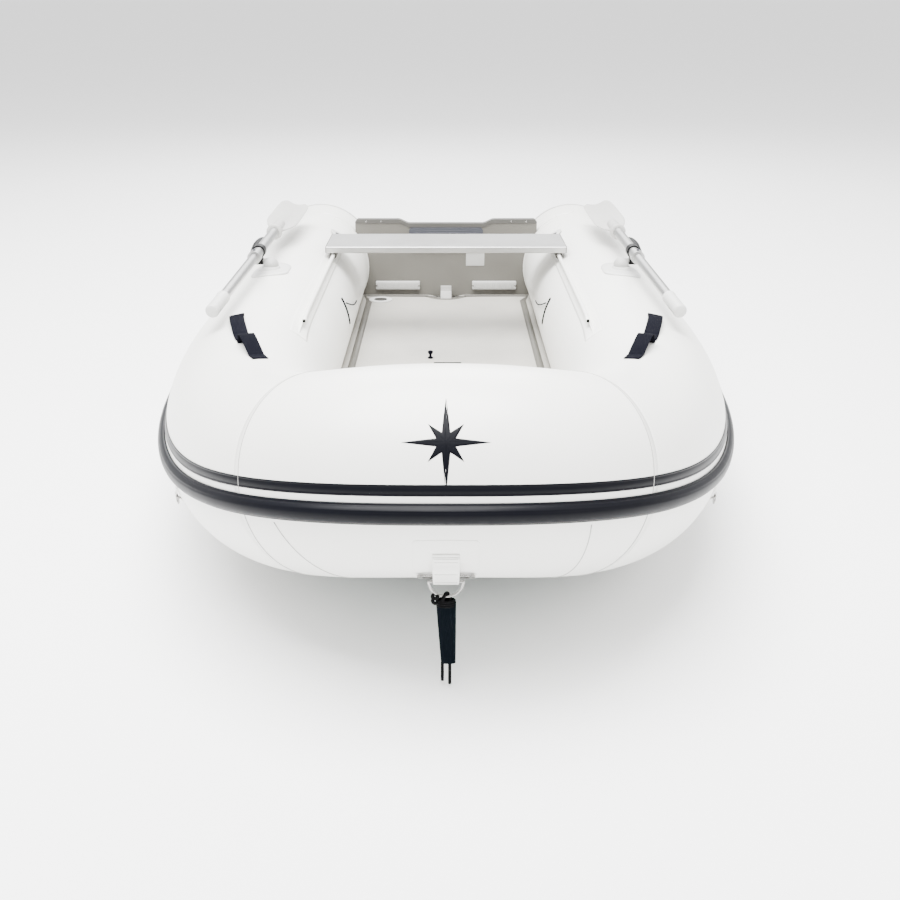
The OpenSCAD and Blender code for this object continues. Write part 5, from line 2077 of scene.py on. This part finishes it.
    def knot(self) -> bpy.types.Object:
        """Knot of the loop beside the ring's wire.

        Returns:
            The piece.
        """
        middle = self.wire + Vector((-0.0215, -0.001, -0.004))
        path = []
        for k in range(61):
            a = TAU * k / 60
            bend = Vector((0.0052 * math.sin(2 * a), 0.0042 * math.cos(3 * a), 0.0085 * math.cos(a)))
            path.append(middle + bend)
        return loft("knot", tube_rings(path, lambda _run, _a: 0.0036, 10))

    def braid(self, run: float, angle: float) -> float:
        """Radius of a braided cord at a distance along it."""
        half = self.cord_thick / 2
        return half * (0.97 + 0.03 * math.cos(4 * angle) * math.cos(TAU * run / 0.005))


@dataclass
class Emblem:
    """Plain compass star on the bow, a generic mark."""

    line: HullLine
    deg: float = 36.0
    long: float = 0.092
    short: float = 0.050
    waist: float = 0.020
    cloth: float = 0.0008

    def build(self) -> None:
        """Build and dress the star."""
        outline = []
        for k in range(16):
            a = TAU * k / 16
            r = self.waist if k % 2 else (self.long if k % 4 == 0 else self.short)
            outline.append((r * math.cos(a), r * math.sin(a)))
        fine = split_outline(outline, 4)
        steps = ((1, 0.0001), (1, 0.0004), (0.75, 0.0005), (0.5, 0.0005), (0.25, 0.0005), (0, 0.0005))
        rings = [[self.line.spot(BOW_AT, self.deg, x * share, y * share, self.cloth + lift) for x, y in fine]
                 for share, lift in steps]
        fit(dress(loft("compass_star", rings, caps=False), MARK_FILM), "hull", "strake_rubber")


# ---- studio ----


@dataclass
class Studio:
    """Floor, lights and camera."""

    trim: Trim
    eye: tuple[float, float, float] = (0.0, -3.1147, 1.159)
    pitch: float = 22.167
    lens: float = 44.63
    shift: tuple[float, float] = (0.0044, 0.0206)
    floor_half: float = 40.0

    def build(self) -> None:
        """Set the stage."""
        self.floor()
        self.lights()
        self.camera()

    def floor(self) -> None:
        """Pale sweep that the boat stands on."""
        mesh = bpy.data.meshes.new("studio_floor")
        half = self.floor_half
        rim = [(-half, -half, 0), (half, -half, 0), (half, half, 0), (-half, half, 0)]
        mesh.from_pydata(rim, [], [(0, 1, 2, 3)])
        obj = bpy.data.objects.new("studio_floor", mesh)
        bpy.context.collection.objects.link(obj)
        material = bpy.data.materials.new("studio_floor")
        material.use_nodes = True
        shader = material.node_tree.nodes["Principled BSDF"]
        shader.inputs["Base Color"].default_value = (0.93, 0.93, 0.93, 1)
        shader.inputs["Roughness"].default_value = 0.8
        mesh.materials.append(material)

    def lights(self) -> None:
        """Large soft lights and an even pale world."""
        world = bpy.data.worlds.new("studio")
        bpy.context.scene.world = world
        world.use_nodes = True
        back = world.node_tree.nodes["Background"]
        back.inputs["Color"].default_value = (1, 1, 1, 1)
        back.inputs["Strength"].default_value = 1.7
        middle = Vector((0, 0, 0.2))
        for name, where, size, power in (("key", (-0.6, -1.0, 5.0), 4.5, 1500),
                                         ("fill", (3.4, -2.4, 3.4), 3.0, 60),
                                         ("rim", (0.0, 4.2, 3.8), 3.4, 320)):
            data = bpy.data.lights.new(name, "AREA")
            data.size = size
            data.energy = power
            lamp = bpy.data.objects.new(name, data)
            lamp.location = where
            lamp.rotation_euler = (middle - Vector(where)).to_track_quat("-Z", "Y").to_euler()
            bpy.context.collection.objects.link(lamp)

    def camera(self) -> None:
        """Camera ahead of the bow, looking aft and down."""
        data = bpy.data.cameras.new("view")
        data.lens = self.lens
        data.sensor_width = 36
        data.shift_x, data.shift_y = self.shift
        data.clip_end = 200
        camera = bpy.data.objects.new("view", data)
        camera.location = self.trim.place(Vector(self.eye))
        camera.rotation_euler = (math.radians(90 - self.pitch) - self.trim.angle, 0, 0)
        bpy.context.collection.objects.link(camera)
        bpy.context.scene.camera = camera


def main() -> None:
    """Build the dinghy and its studio."""
    logging.basicConfig(level=logging.INFO, format="%(name)s: %(message)s")
    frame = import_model()
    trim = Trim.from_frame(frame)
    line = HullLine(trim)
    nodes, joints = frame["nodes"], frame["joints"]
    Studio(trim).build()
    BowFittings(line, nodes, joints).build()
    AirTubes(line).build()
    Strake(line).build()
    Bottom(line).build()
    AirFloor(line).build()
    Transom(line, nodes).build()
    SeatAndRails(line, nodes).build()
    Handles(line).build()
    Lifelines(line).build()
    Oars(line, nodes, joints).build()
    Valves(nodes, joints).build()
    Emblem(line).build()
    for name, finish in (("tube_baffles", GREY_TRIM_AND_SEAM_SHADE), ("keel_tube", BOTTOM_CLOTH),
                         ("drop_stitch_yarns", GREY_TRIM_AND_SEAM_SHADE)):
        dress(nodes[name], finish)


if __name__ == "__main__":
    main()
